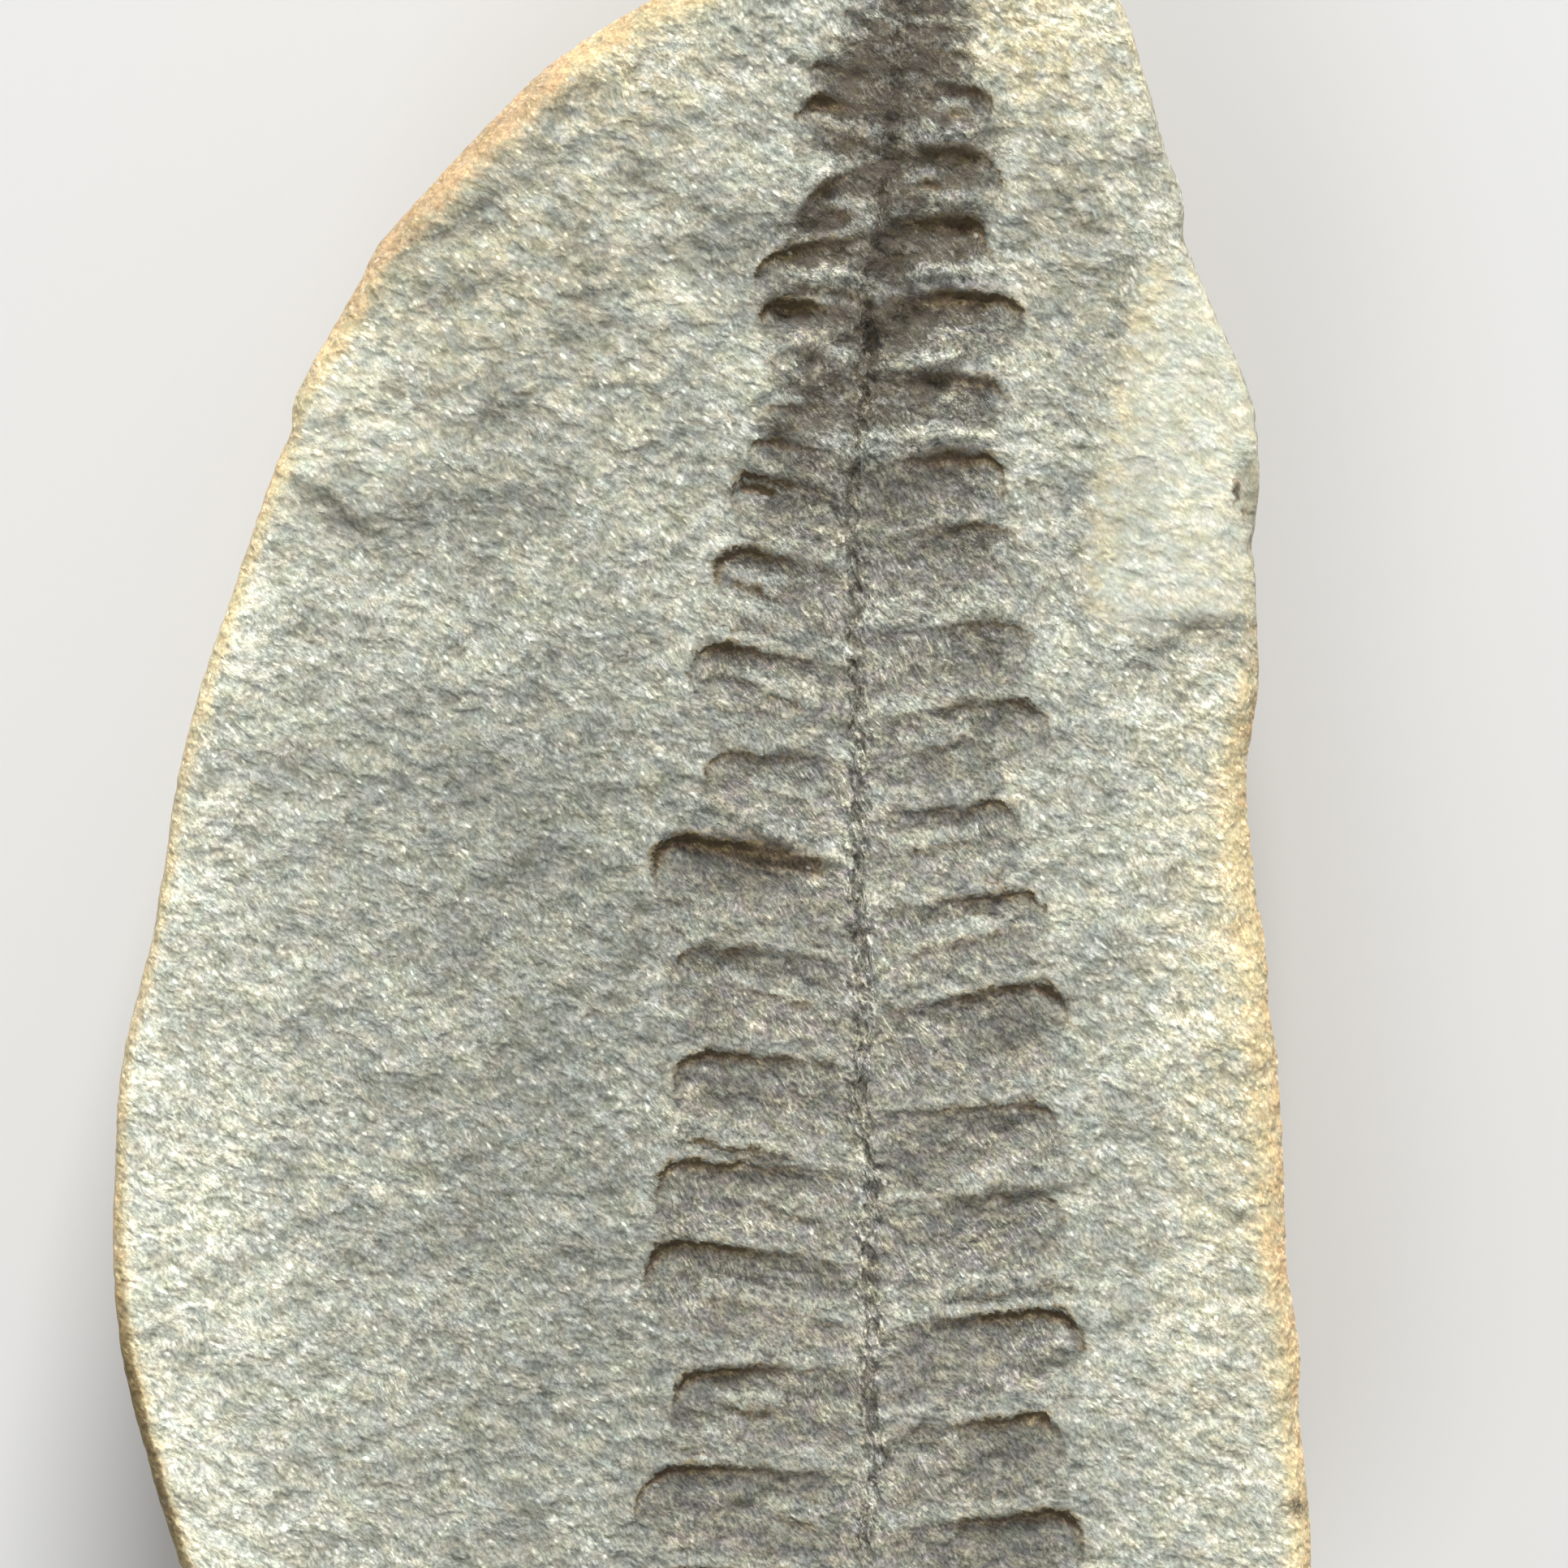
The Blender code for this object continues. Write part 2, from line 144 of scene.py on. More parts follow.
# Pinnules from the top down. Each row: height of the upper margin at the rachis, reach of
# the tip from the rachis, rise of the margin to its shoulder, bow, breadth, depth, midvein.
LEFT_PINNULES = [
    (32.6, 1.8, 0.7, 0.0, 0.9, 0.20, 0.0),
    (31.3, 2.0, 0.8, 0.0, 0.9, 0.20, 0.0),
    (29.9, 2.1, 0.8, 0.0, 0.9, 0.20, 0.0),
    (29.3, 2.7, 0.5, 0.0, 1.0, 0.20, 0.0),
    (28.2, 3.0, 0.8, 0.1, 1.1, 0.24, 0.0),
    (27.4, 3.3, 0.3, 0.1, 1.5, 0.40, 0.1),
    (25.8, 2.8, -1.4, 0.1, 1.5, 0.26, 0.0),
    (23.2, 3.8, -0.8, 0.1, 1.5, 0.42, 0.1),
    (20.6, 3.6, 0.2, 0.2, 1.4, 0.42, 0.0),
    (18.6, 3.2, 0.9, 0.1, 1.6, 0.18, 0.0),
    (17.4, 3.5, -0.1, 0.2, 1.0, 0.24, 0.0),
    (15.6, 3.8, 0.9, 0.1, 1.3, 0.28, 0.0),
    (14.3, 4.1, 1.1, 0.1, 1.9, 0.42, 0.1),
    (11.7, 4.8, 1.1, 0.2, 2.3, 0.42, 0.2),
    (8.5, 5.5, 1.1, 0.2, 2.3, 0.36, 0.2),
    (5.5, 5.2, 0.4, 0.1, 1.9, 0.26, 0.2),
    (2.0, 6.8, 1.3, 0.1, 2.5, 0.55, 0.1),
    (-1.2, 6.6, 0.7, 0.1, 2.9, 0.24, 0.2),
    (-4.6, 6.3, 0.6, 0.1, 2.6, 0.38, 0.1),
    (-8.2, 7.3, 0.5, 0.1, 2.5, 0.36, 0.2),
    (-11.3, 7.5, 1.1, 0.1, 3.1, 0.40, 0.2),
    (-14.7, 6.7, 0.0, 0.1, 2.6, 0.34, 0.1),
    (-18.3, 7.8, 0.5, 0.1, 2.9, 0.36, 0.2),
    (-21.8, 7.4, 0.6, 0.1, 2.8, 0.34, 0.2),
    (-25.1, 7.6, 0.4, 0.1, 2.8, 0.34, 0.1),
    (-28.4, 7.2, 0.6, 0.1, 2.7, 0.30, 0.1),
]
RIGHT_PINNULES = [
    (32.4, 1.9, 0.1, 0.1, 0.8, 0.20, 0.0),
    (31.2, 2.2, 0.0, 0.1, 0.9, 0.20, 0.0),
    (30.1, 2.5, -0.1, 0.1, 0.8, 0.20, 0.0),
    (29.3, 2.6, -0.2, 0.1, 0.9, 0.22, 0.0),
    (28.3, 3.3, -0.4, 0.1, 1.4, 0.30, 0.1),
    (25.9, 3.9, -0.2, 0.2, 1.9, 0.32, 0.1),
    (23.6, 3.7, 0.0, 0.1, 1.7, 0.46, 0.0),
    (20.6, 5.3, 0.5, 0.3, 1.9, 0.44, 0.1),
    (18.6, 4.7, -0.3, 0.1, 1.8, 0.26, 0.1),
    (15.2, 5.1, 0.6, 0.3, 2.2, 0.42, 0.1),
    (12.9, 5.5, 0.7, 0.1, 2.0, 0.24, 0.1),
    (9.8, 5.9, 0.5, 0.1, 2.2, 0.24, 0.2),
    (6.9, 6.3, 0.9, 0.1, 2.4, 0.26, 0.2),
    (3.9, 5.5, 0.5, -0.1, 2.3, 0.28, 0.2),
    (0.4, 6.3, 1.0, 0.1, 2.2, 0.30, 0.2),
    (-3.0, 6.8, 1.5, 0.1, 3.1, 0.34, 0.1),
    (-6.1, 6.8, 0.5, -0.1, 2.7, 0.28, 0.1),
    (-9.1, 6.6, 0.5, 0.0, 2.9, 0.26, 0.2),
    (-13.3, 7.1, 0.7, 0.1, 2.7, 0.42, 0.1),
    (-16.8, 6.3, 0.9, -0.1, 2.6, 0.34, 0.1),
    (-20.2, 7.3, 1.0, 0.1, 2.8, 0.38, 0.2),
    (-23.6, 7.0, 0.8, 0.1, 2.7, 0.34, 0.1),
    (-27.0, 7.2, 0.9, 0.1, 2.7, 0.34, 0.2),
    (-30.2, 6.6, 0.8, 0.1, 2.4, 0.28, 0.1),
]
REACH_MARGIN, HEIGHT_MARGIN = 2.0, 5.0  # beyond its tip and base, where a pinnule still counts
FULL_DEPTH = 0.4  # prints of this depth have full marks
TIP_ROUND, TIP_POWER = 0.5, 2.1  # length of the round tip in breadths, and its squareness
TIP_STEEPNESS, TIP_SHADE = 0.85, 0.9  # of the upper margin's
UPPER_WALL, LOWER_WALL = 0.30, 1.2
STEP_SHARE, SLOPE_BREADTH = 0.38, 0.75  # the steep step's share of the wall, and the slope below it
LOWER_SHARE, FLOOR_BEND = 0.1, 1.7
ROOT_FADE = 1.0
LIP_HEIGHT, LIP_BREADTH = 0.04, 0.30
NO_PRINT = -2.0  # the distance inside a print, far from every print
INNER_SHARE, SHOULDER_SHARE = 0.3, 0.95  # of the depth near the rachis and at the shoulder
TIP_FADE, TIP_DARK = 0.35, 0.7  # loss of depth at the tip, and its share of the upper margin's dark edge, painted shadow and painted highlight
RAGGED, RAGGED_LENGTH = 0.45, 1.1  # how much the depth varies along a print, and over what length
RACHIS_ROUGHNESS, RACHIS_HALF_BREADTH, RACHIS_CORE = 0.24, 0.6, 0.2
RACHIS_GRAIN, RACHIS_GRAIN_RISE = 0.36, -65.0
RACHIS_GRAIN_LENGTH = 1.8 * RACHIS_GRAIN
RACHIS_SHADE, RACHIS_SHADE_BREADTH = 0.28, 0.3
SHOULDER_LIGHT, SHOULDER_PLACE, SHOULDER_BREADTH = 0.22, 0.65, 0.25  # beside the rachis
COVER_OUTSIDE, COVER_INSIDE = 0.8, 1.6  # the frond's cover fades from inside to outside its tips

# Small steps in the pinnules' floors: start x, y, end x, y, strength. The low side is on the right.
CREASES = [
    (3.0, 26.9, 5.5, 26.2, 0.3), (4.0, 24.0, 4.6, 23.7, 0.55), (2.7, 21.5, 5.1, 21.1, 0.3),
    (0.7, 14.9, 2.2, 14.7, 0.8), (0.5, 11.7, 1.9, 11.2, 0.55), (0.0, 10.8, 1.9, 10.1, 0.3),
    (0.5, 8.4, 3.2, 7.4, 0.4), (1.4, 4.7, 3.2, 4.3, 0.3), (0.3, -1.8, 3.4, -2.6, 0.4),
    (-0.8, -7.0, 2.7, -7.6, 0.55), (1.4, -9.0, 3.9, -9.9, 0.4), (-0.3, -12.2, 4.6, -13.2, 0.3),
    (0.3, -15.9, 1.9, -16.1, 0.55), (-0.5, -17.0, 0.3, -17.6, 0.4), (1.9, -19.5, 3.5, -19.9, 0.4),
    (7.7, 27.3, 8.4, 27.4, 0.55), (6.8, 24.9, 7.6, 25.0, 0.55), (9.3, 12.3, 9.7, 12.1, 0.55),
    (6.5, 5.9, 8.4, 6.3, 0.4), (6.2, 2.5, 8.6, 3.0, 0.4), (8.6, 1.4, 9.7, 2.2, 0.3),
    (6.3, -0.9, 9.7, 0.0, 0.4), (8.6, -8.8, 9.7, -8.4, 0.4), (9.9, -8.8, 11.6, -8.6, 0.6),
    (6.2, -9.5, 7.8, -9.2, 0.3), (7.5, -12.3, 11.7, -11.9, 0.2),
]
CREASE_DEPTH, CREASE_WALL, CREASE_BREADTH = 0.12, 0.25, 0.7
CREASE_CORE, CREASE_END, CREASE_JOIN = 0.2, 0.3, 0.15

# Scars: start x, y, end x, y, breadth, depth.
SCARS = [
    (-13.6, 15.2, -10.9, 13.0, 1.8, 0.3), (-10.9, 13.1, -8.6, 14.4, 1.3, 0.14),
    (13.6, 8.7, 16.0, 10.3, 1.6, 0.28), (15.8, 10.3, 17.8, 10.5, 1.6, 0.3),
    (12.9, 21.7, 14.0, 20.7, 0.8, 0.2), (17.7, 13.3, 17.2, 15.5, 1.1, 0.45),
    (-0.5, 4.3, 2.8, 2.8, 0.9, 0.3), (-0.5, -7.0, 2.7, -7.6, 0.7, 0.18),
    (7.5, -12.3, 11.7, -11.9, 0.6, 0.12), (-0.1, -16.1, 0.8, -16.2, 0.6, 0.25),
    (-10.6, -8.5, -9.5, -8.0, 0.6, 0.2), (-14.3, -4.0, -13.7, -4.3, 0.5, 0.2),
    (-3.3, -17.2, -2.3, -17.0, 0.5, 0.2), (18.7, -19.1, 19.9, -19.3, 0.5, 0.35),
]
SCAR_WALL = 0.45
DARK_SCAR_DEPTH = 0.35  # scars of this depth get the darkest painted shade

# Fine relief of the split face.
NOISE_LAYER_GAP = 50.0  # lumps between two layers of noise
WARP, WARP_LENGTH = 0.12, 0.8  # how far the print's edges wander, and over what length
STREAK_HEIGHT, STREAK_LENGTH, STREAK_BREADTH, STREAK_RISE = 0.09, 5.0, 1.8, 30.0
LUMPY_HEIGHT, LUMPY_LENGTH = 0.05, 0.8
FROND_LUMPS, FROND_LUMP_LENGTH = 0.16, 1.1
COVER_LUMPS = 0.4  # share of the frond's lumps where no dark film is left
# Rougher places: centre x, y, radius along x and y, share.
RUGGED_SPOTS = [
    (-7.0, 22.0, 8.0, 7.0, 1.0), (-13.0, 15.5, 3.5, 4.0, 0.9), (12.0, 26.0, 3.0, 6.0, 0.7),
    (-12.0, 5.0, 5.0, 3.0, 0.5),
]
RUGGED_HEIGHT, RUGGED_LENGTH = 0.16, 1.5
# Chips of the broken face: length, breadth, rise in degrees, height.
CHIPS = [
    (2.6, 1.3, 15.0, 0.10),
    (0.95, 0.5, -30.0, 0.09),
]
CHIP_CELLS, CHIP_SHIFT = 256, 0.9  # cells until the chips repeat, and how far chips leave theirs

# Mesh: lattice spacings on the face, steps round the rim and from the rim down to the foot.
FRAME_LEFT, FRAME_RIGHT = -3.3, 12.8  # x between which the lattice is fine
FINE_STEP, COARSE_STEP = 0.15, 0.25
RIM_STEPS, SIDE_STEPS = 960, 22
LATTICE_REACH, RIM_GAP = 21.0, 0.3
JITTER, JITTER_SEED = 0.2, 3
INSIDE_ONLY, MERGE_DISTANCE = 1, 1e-6  # how the face's points are joined

# Lightness of the stone: an even tone, and soft spots of centre x, y, radius along x and y, change.
STONE_TONE = 0.52
TONE_SPOTS = [
    (-4.5, 4.0, 7.5, 7.0, -0.16), (-5.0, -8.0, 7.5, 9.0, -0.16), (-5.0, -20.0, 7.0, 8.0, -0.11),
    (-13.0, 6.0, 4.5, 2.5, -0.07), (-10.5, 10.0, 3.0, 2.0, 0.06), (1.0, 23.2, 2.2, 2.0, -0.16),
    (0.0, 18.5, 1.8, 2.0, -0.06), (-12.9, 14.4, 0.9, 0.7, -0.12), (-7.0, 15.2, 4.0, 2.4, -0.14),
    (-7.0, 23.0, 6.0, 5.0, -0.14), (-9.0, 19.5, 3.0, 2.5, 0.06), (-12.0, 17.0, 2.0, 2.5, 0.12),
    (-19.0, -8.0, 3.5, 10.0, 0.17), (-17.5, -20.0, 4.0, 6.0, 0.16), (16.5, 16.0, 2.0, 6.0, 0.06),
    (13.2, -6.0, 1.6, 16.0, -0.07), (12.5, 30.0, 2.5, 3.0, 0.19), (12.0, 22.0, 1.6, 5.0, -0.12),
    (11.6, 15.0, 1.3, 5.0, -0.06), (16.0, 2.0, 2.5, 8.0, 0.13), (16.5, -14.0, 2.5, 10.0, 0.08),
    # The last two spots are painted shade along the scars at the right.
    (15.6, 10.15, 1.6, 0.35, -0.24), (13.5, 9.0, 1.4, 0.45, -0.2),
]
# The bright layer at the upper right begins along this line, from the bottom up: y, x.
LAYER_LINE = [(9.0, 13.8), (11.0, 12.2), (13.6, 12.4), (17.0, 13.1), (21.5, 14.1), (23.0, 15.0)]
LAYER_ENDS = (9.0, 11.0, 21.5, 23.5)  # y where it begins, is full, is full still, and ends
LAYER_RISE = (-0.4, 0.5)
LAYER_TONE, LAYER_SMOOTHNESS = 0.10, 0.6
LAYER_EDGE, LAYER_EDGE_BREADTH, LAYER_EDGE_CREAM = 0.4, 0.6, 0.6
# Cream patches: centre x, y, radius along x and y, share.
CREAM_SPOTS = [
    (10.3, 29.8, 2.6, 2.2, 0.8), (16.8, -2.0, 2.0, 16.0, 0.5), (-8.0, 23.0, 8.0, 7.0, 0.4),
    (-3.0, 28.5, 3.0, 2.0, 0.5), (12.0, 25.0, 3.0, 7.0, 0.35),
]
# Brown stains in hollows: centre x, y, radius along x and y, share.
STAIN_SPOTS = [
    (-0.5, 3.1, 0.9, 0.26, 1.2), (0.9, 2.8, 0.9, 0.42, 1.4), (2.0, 2.45, 0.9, 0.46, 1.4),
    (3.1, 2.15, 0.7, 0.32, 1.0), (17.4, 14.6, 0.16, 0.55, 1.3), (17.7, 13.8, 0.22, 0.35, 1.0),
    (17.95, 14.8, 0.28, 0.6, 0.42), (-10.0, 22.9, 0.6, 0.3, 0.7), (-14.3, 16.9, 0.4, 0.7, 0.5),
    (-11.8, 13.8, 0.25, 0.6, 0.3), (19.4, -19.2, 0.5, 0.4, 0.9), (9.0, -12.1, 1.6, 0.35, 0.3),
    (11.3, -11.9, 0.8, 0.45, 0.35), (9.3, -18.9, 1.3, 0.3, 0.3), (-9.2, -19.0, 1.0, 0.5, 0.35),
    (-9.8, -15.2, 1.2, 0.6, 0.3),
]
# Lightness of the frond, from the bottom up: y, tone.
FROND_TONE = [
    (-34.0, 0.325), (-5.0, 0.315), (5.0, 0.315), (11.0, 0.31), (15.0, 0.275), (18.0, 0.22),
    (25.0, 0.155), (31.0, 0.16),
]
# Hollows and ridges of the frond: centre x, y, radius along x and y, change of tone. The hollows'
# darkening is dark film with painted shade, the ridges' lightening is painted light.
FROND_SPOTS = [
    (3.7, 27.5, 0.8, 0.3, -0.15), (4.3, 28.6, 0.7, 0.3, -0.11), (8.1, 25.8, 1.1, 0.35, -0.18),
    (8.4, 23.5, 1.2, 0.35, -0.24), (6.7, 23.4, 0.7, 0.3, -0.18), (3.3, 23.4, 0.8, 0.4, -0.21),
    (2.5, 22.6, 0.6, 0.35, -0.18), (2.6, 20.7, 1.1, 0.3, -0.24), (7.7, 21.0, 1.2, 0.3, -0.21),
    (6.0, 25.8, 0.3, 0.5, -0.24), (5.6, 22.6, 0.3, 0.9, -0.21), (6.2, 21.5, 0.4, 1.1, -0.18),
    (5.2, 19.6, 0.3, 1.4, -0.21), (6.3, 20.3, 0.6, 0.45, -0.15), (7.1, 18.2, 1.0, 0.3, -0.18),
    (2.1, 16.4, 0.6, 0.4, -0.18), (1.6, 15.0, 0.7, 0.35, -0.18), (8.0, 15.8, 1.1, 0.3, -0.21),
    (7.9, 24.4, 1.1, 0.25, 0.3), (8.0, 22.0, 1.2, 0.25, 0.33), (7.7, 16.5, 1.2, 0.3, 0.33),
    (7.7, 17.6, 0.4, 0.25, 0.3), (3.5, 25.1, 0.7, 0.3, 0.19), (4.1, 22.0, 0.6, 0.3, 0.19),
    (7.3, 19.0, 1.1, 0.25, 0.26), (8.0, 26.6, 0.8, 0.3, 0.19), (8.4, 19.8, 1.1, 0.4, 0.23),
    (3.1, 19.6, 0.7, 0.4, 0.23), (9.3, -12.35, 1.3, 0.28, -0.12), (11.1, -12.2, 0.8, 0.4, -0.12),
    (12.3, -13.6, 0.2, 0.7, -0.1), (11.6, -14.6, 0.6, 0.2, -0.09), (10.9, -8.75, 0.8, 0.2, -0.1),
    (9.3, -18.9, 1.3, 0.25, -0.09), (9.2, -14.4, 1.8, 0.6, 0.06), (1.5, 1.9, 1.5, 0.6, -0.06),
    (5.2, -17.0, 0.3, 4.0, -0.03), (10.4, -15.2, 1.3, 0.22, 0.1), (12.0, -18.0, 0.2, 0.6, -0.08),
]
GAP_LIGHT, GAP_FADE = 0.45, 0.15  # how far the stone between the prints keeps its own tone
FROND_SPOT_RELIEF = 0.8  # height per change of tone
# Share of dark film left on the frond, from the bottom up: y, share.
FROND_FILM = [(-34.0, 0.15), (5.0, 0.2), (13.0, 0.45), (17.0, 0.9), (32.0, 1.0)]

# The rind's shares, which go on from the rim down the side, and the side's other shares.
RIND_SHARES = ("ochre", "pink", "olive", "rind_tone")
SIDE_SHARES = {"rind": 1.0, "tone": STONE_TONE, "inside": NO_PRINT}

# Hues, each scaled to an even lightness, and colours.
STONE_HUE = (0.998, 1.022, 0.875, 1.0)
OLIVE_GREY = (0.990, 1.022, 0.80, 1.0)
PALE_HUE = (1.010, 1.015, 0.82, 1.0)
CREAM = (1.12, 1.0, 0.66, 1.0)
# Factors that spread every hue a little.
COOLER, WARMER = (0.970, 1.006, 1.07, 1.0), (1.030, 0.995, 0.93, 1.0)
GREENER, PINKER = (0.982, 1.011, 0.99, 1.0), (1.018, 0.989, 1.01, 1.0)
FILM_LILAC = (1.045, 0.985, 0.89, 1.0)
FILM_OLIVE = (1.025, 1.0, 0.78, 1.0)
FILM_UMBER = (1.06, 0.985, 0.80, 1.0)
# Painted shade of the upper walls: the dark edge, and the shadow below it in the print's brown, olive
# and gold.
EDGE_DARK = (0.060, 0.043, 0.019, 1.0)
BAND_BROWN = (0.185, 0.122, 0.085, 1.0)
BAND_OLIVE = (0.190, 0.145, 0.065, 1.0)
BAND_GOLD = (0.42, 0.33, 0.17, 1.0)
FILM_BROWN = (0.135, 0.105, 0.085, 1.0)
FILM_OCHRE = (0.185, 0.145, 0.062, 1.0)
TINT_OCHRE = (0.30, 0.225, 0.095, 1.0)
# Painted highlight on the ridge above each print, lilac where the film is.
CREST_LILAC = (0.56, 0.52, 0.53, 1.0)
CREST_GREY = (0.66, 0.65, 0.55, 1.0)
RIND_PINK = (1.30, 0.935, 0.54, 1.0)
RIND_OCHRE = (1.19, 0.985, 0.58, 1.0)
RIND_OLIVE = (1.30, 0.95, 0.42, 1.0)
STAIN_BROWN = (0.085, 0.062, 0.038, 1.0)
STAIN_ROSE = (0.36, 0.27, 0.175, 1.0)
# White of the flecks: white grains with painted glints.
FLECK_WHITE = (0.92, 0.93, 0.86, 1.0)

# Patterns of the surface: direction in degrees, length, breadth, octaves, roughness. Their
# values lie round 0.5, mostly between 0.3 and 0.7.
PATTERNS = {
    "mottle": (15.0, 2.4, 1.4, 3.0, 0.6),
    "blotch": (20.0, 0.9, 0.5, 3.0, 0.65),
    "veins": (-58.0, 0.55, 0.10, 1.0, 0.5),
    "grains": (-68.0, 0.55, 0.20, 3.0, 0.65),
    "clumps": (-20.0, 0.60, 0.38, 1.0, 0.5),
    "grit": (-45.0, 0.42, 0.28, 4.0, 0.75),
    "speckle": (-50.0, 0.17, 0.10, 2.0, 0.6),
    "swarm": (10.0, 3.0, 1.8, 2.0, 0.6),
    "flakes": (-50.0, 0.26, 0.085, 1.0, 0.5),
    "tinge": (-30.0, 0.9, 0.6, 3.0, 0.65),
}
BIG_CHIPS, SMALL_CHIPS = (-32.0, 0.46, 0.22), (-42.0, 0.27, 0.12)
BEND, BEND_SCALE = 0.35, 0.7  # the patterns' slow bend, and its bends a millimetre
# Marks along a print's upper margin: distance inside it and half breadth.
# The edge is painted shade of the steep upper wall, with the print's brown; the crest is a painted
# highlight on the ridge above it.
EDGE_LINE, TINT_LINE, CREST_LINE = (0.08, 0.24), (-0.07, 0.13), (-0.24, 0.26)
BAND_BREADTH = 0.65
SIDE_HEIGHTS = (11.3, 8.0)  # the height where the side's colour and painted shade begin, and where they are full
# Changes of lightness: the pattern's values at the start and the end, and the changes there.
PATCH_LIGHT = (0.25, 0.75, -0.18, 0.18)
GRIT_LIGHT = (0.30, 0.70, -0.2, 0.2)
SPECKLE_LIGHT = (0.28, 0.72, -0.36, 0.30)
MOTTLE_LIGHT = (0.35, 0.65, -0.10, 0.08)
SWARM_LIGHT = (0.35, 0.65, -0.08, 0.08)
CLUMP_LIGHT = (0.35, 0.65, -0.15, 0.12)
RACHIS_LIGHT = (0.42, 0.66, -0.25, 1.6)
# Changes of lightness where a mark is full.
# The side's and the dark lower-left rind's changes are painted shade.
SIDE_LIGHT, OLIVE_LIGHT, RIND_SPECK_LIGHT = -0.40, -0.70, -0.25
# The scars' change is painted shade in their hollows; the flakes' change is painted glints.
SCAR_LIGHT, CRACK_LIGHT, HAIR_LIGHT, FLAKE_LIGHT = -0.6, -0.5, 0.8, 0.80
# Gleams of the chips: the power that makes them few, and their strength.
BIG_GLEAM, SMALL_GLEAM = (5.0, 0.5), (9.0, 1.2)
# Heights of the finest relief.
BIG_CHIP_HEIGHT, SMALL_CHIP_HEIGHT, GRIT_HEIGHT, FLAKE_HEIGHT = 0.04, 0.02, 0.065, 0.015
CLUMP_HEIGHT, VEIN_HEIGHT, EDGE_DROP = 0.09, 0.035, 0.06
RACHIS_VEIN_HEIGHT, RACHIS_GRAIN_HEIGHT = 0.05, 0.16
STONE_ROUGHNESS, STONE_SPECULAR = 0.85, 0.3

# Studio, in metres and watts. Lights: name, place, size, power.
FLOOR_HALF_SIDE, FLOOR_COLOUR, FLOOR_ROUGHNESS = 1.5, (0.70, 0.70, 0.69, 1.0), 0.7
LIGHTS = [
    ("key", (0.10, 0.86, 0.52), 0.35, 13.5),
    ("fill", (-0.4, -0.6, 0.8), 0.6, 3.0),
]
SKY_COLOUR, SKY_STRENGTH = (1.0, 1.0, 1.0, 1.0), 0.32


def smooth(start, end, value):
    """0 at start, 1 at end, with an S-shaped rise between them."""
    share = np.clip((value - start) / (end - start), 0.0, 1.0)
    return share * share * (3.0 - 2.0 * share)


def hump(away, breadth):
    """1 where the distance is 0, falling softly to almost 0 at twice the breadth."""
    return np.exp(-((away / breadth) ** 2))


def noise_at(points, length, octaves):
    """Fractal noise of about -1 to 1 with lumps of the given length."""
    scaled = np.asarray(points) / length
    return np.array([noise.fractal(Vector(p), 1.0, 2.0, octaves) for p in scaled])


def flat_noise(x, y, length, octaves, layer):
    """Noise over the face; each layer number gives another pattern."""
    level = np.full_like(x, NOISE_LAYER_GAP * layer * length)
    return noise_at(np.column_stack([x, y, level]), length, octaves)


def turned(x, y, rise):
    """The place along and across a line that rises that many degrees to the right."""
    turn = math.radians(rise)
    along = x * math.cos(turn) + y * math.sin(turn)
    return along, y * math.cos(turn) - x * math.sin(turn)


def streak_noise(x, y, length, breadth, rise, octaves, layer):
    """Noise drawn out along a line that rises that many degrees to the right."""
    along, across = turned(x, y, rise)
    return flat_noise(along * breadth / length, across, breadth, octaves, layer)


def facets(x, y, length, breadth, rise, seed):
    """Height of flat chips, each with its own tilt, with chips of about one unit of height."""
    along, across = turned(x, y, rise)
    u, v = along / length, across / breadth
    chips = np.random.default_rng(seed).uniform(-0.5, 0.5, (CHIP_CELLS, CHIP_CELLS, 4))
    nearest, height = np.full_like(x, math.inf), np.zeros_like(x)
    for column in (-1, 0, 1):
        for row in (-1, 0, 1):
            cell_u, cell_v = np.floor(u).astype(int) + column, np.floor(v).astype(int) + row
            shift_u, shift_v, tilt_u, tilt_v = chips[cell_u % CHIP_CELLS, cell_v % CHIP_CELLS].T
            from_u = u - cell_u - 0.5 - CHIP_SHIFT * shift_u
            from_v = v - cell_v - 0.5 - CHIP_SHIFT * shift_v
            closer = np.hypot(from_u, from_v) < nearest
            nearest = np.where(closer, np.hypot(from_u, from_v), nearest)
            height = np.where(closer, 2.0 * (from_u * tilt_u + from_v * tilt_v), height)
    return height


def outline_radius(angle):
    """Distance from the centre to the smooth closed curve through the outline points."""
    here = np.array(OUTLINE)
    before, after, beyond = (np.roll(here, shift, axis=0) for shift in (1, -1, -2))
    share = np.linspace(0.0, 1.0, CURVE_STEPS, endpoint=False)[:, None, None]
    curve = 0.5 * (
        2.0 * here
        + (after - before) * share
        + (2.0 * before - 5.0 * here + 4.0 * after - beyond) * share**2
        + (3.0 * here - before - 3.0 * after + beyond) * share**3
    )
    x, y = curve.reshape(-1, 2).T
    return np.interp(angle, np.arctan2(y, x), np.hypot(x, y), period=2.0 * math.pi)


def rim_radius(angle):
    """Distance from the centre to the split face's edge, with its notches."""
    radius = outline_radius(angle) * RIM_SHARE
    for direction, half_breadth, depth in NOTCHES:
        radius -= depth * hump(np.degrees(angle) % 360.0 - direction % 360.0, half_breadth)
    return radius


def rachis_x(y):
    """x of the rachis at that y."""
    x_points, y_points = np.array(RACHIS)[::-1].T
    return np.interp(y, y_points, x_points)


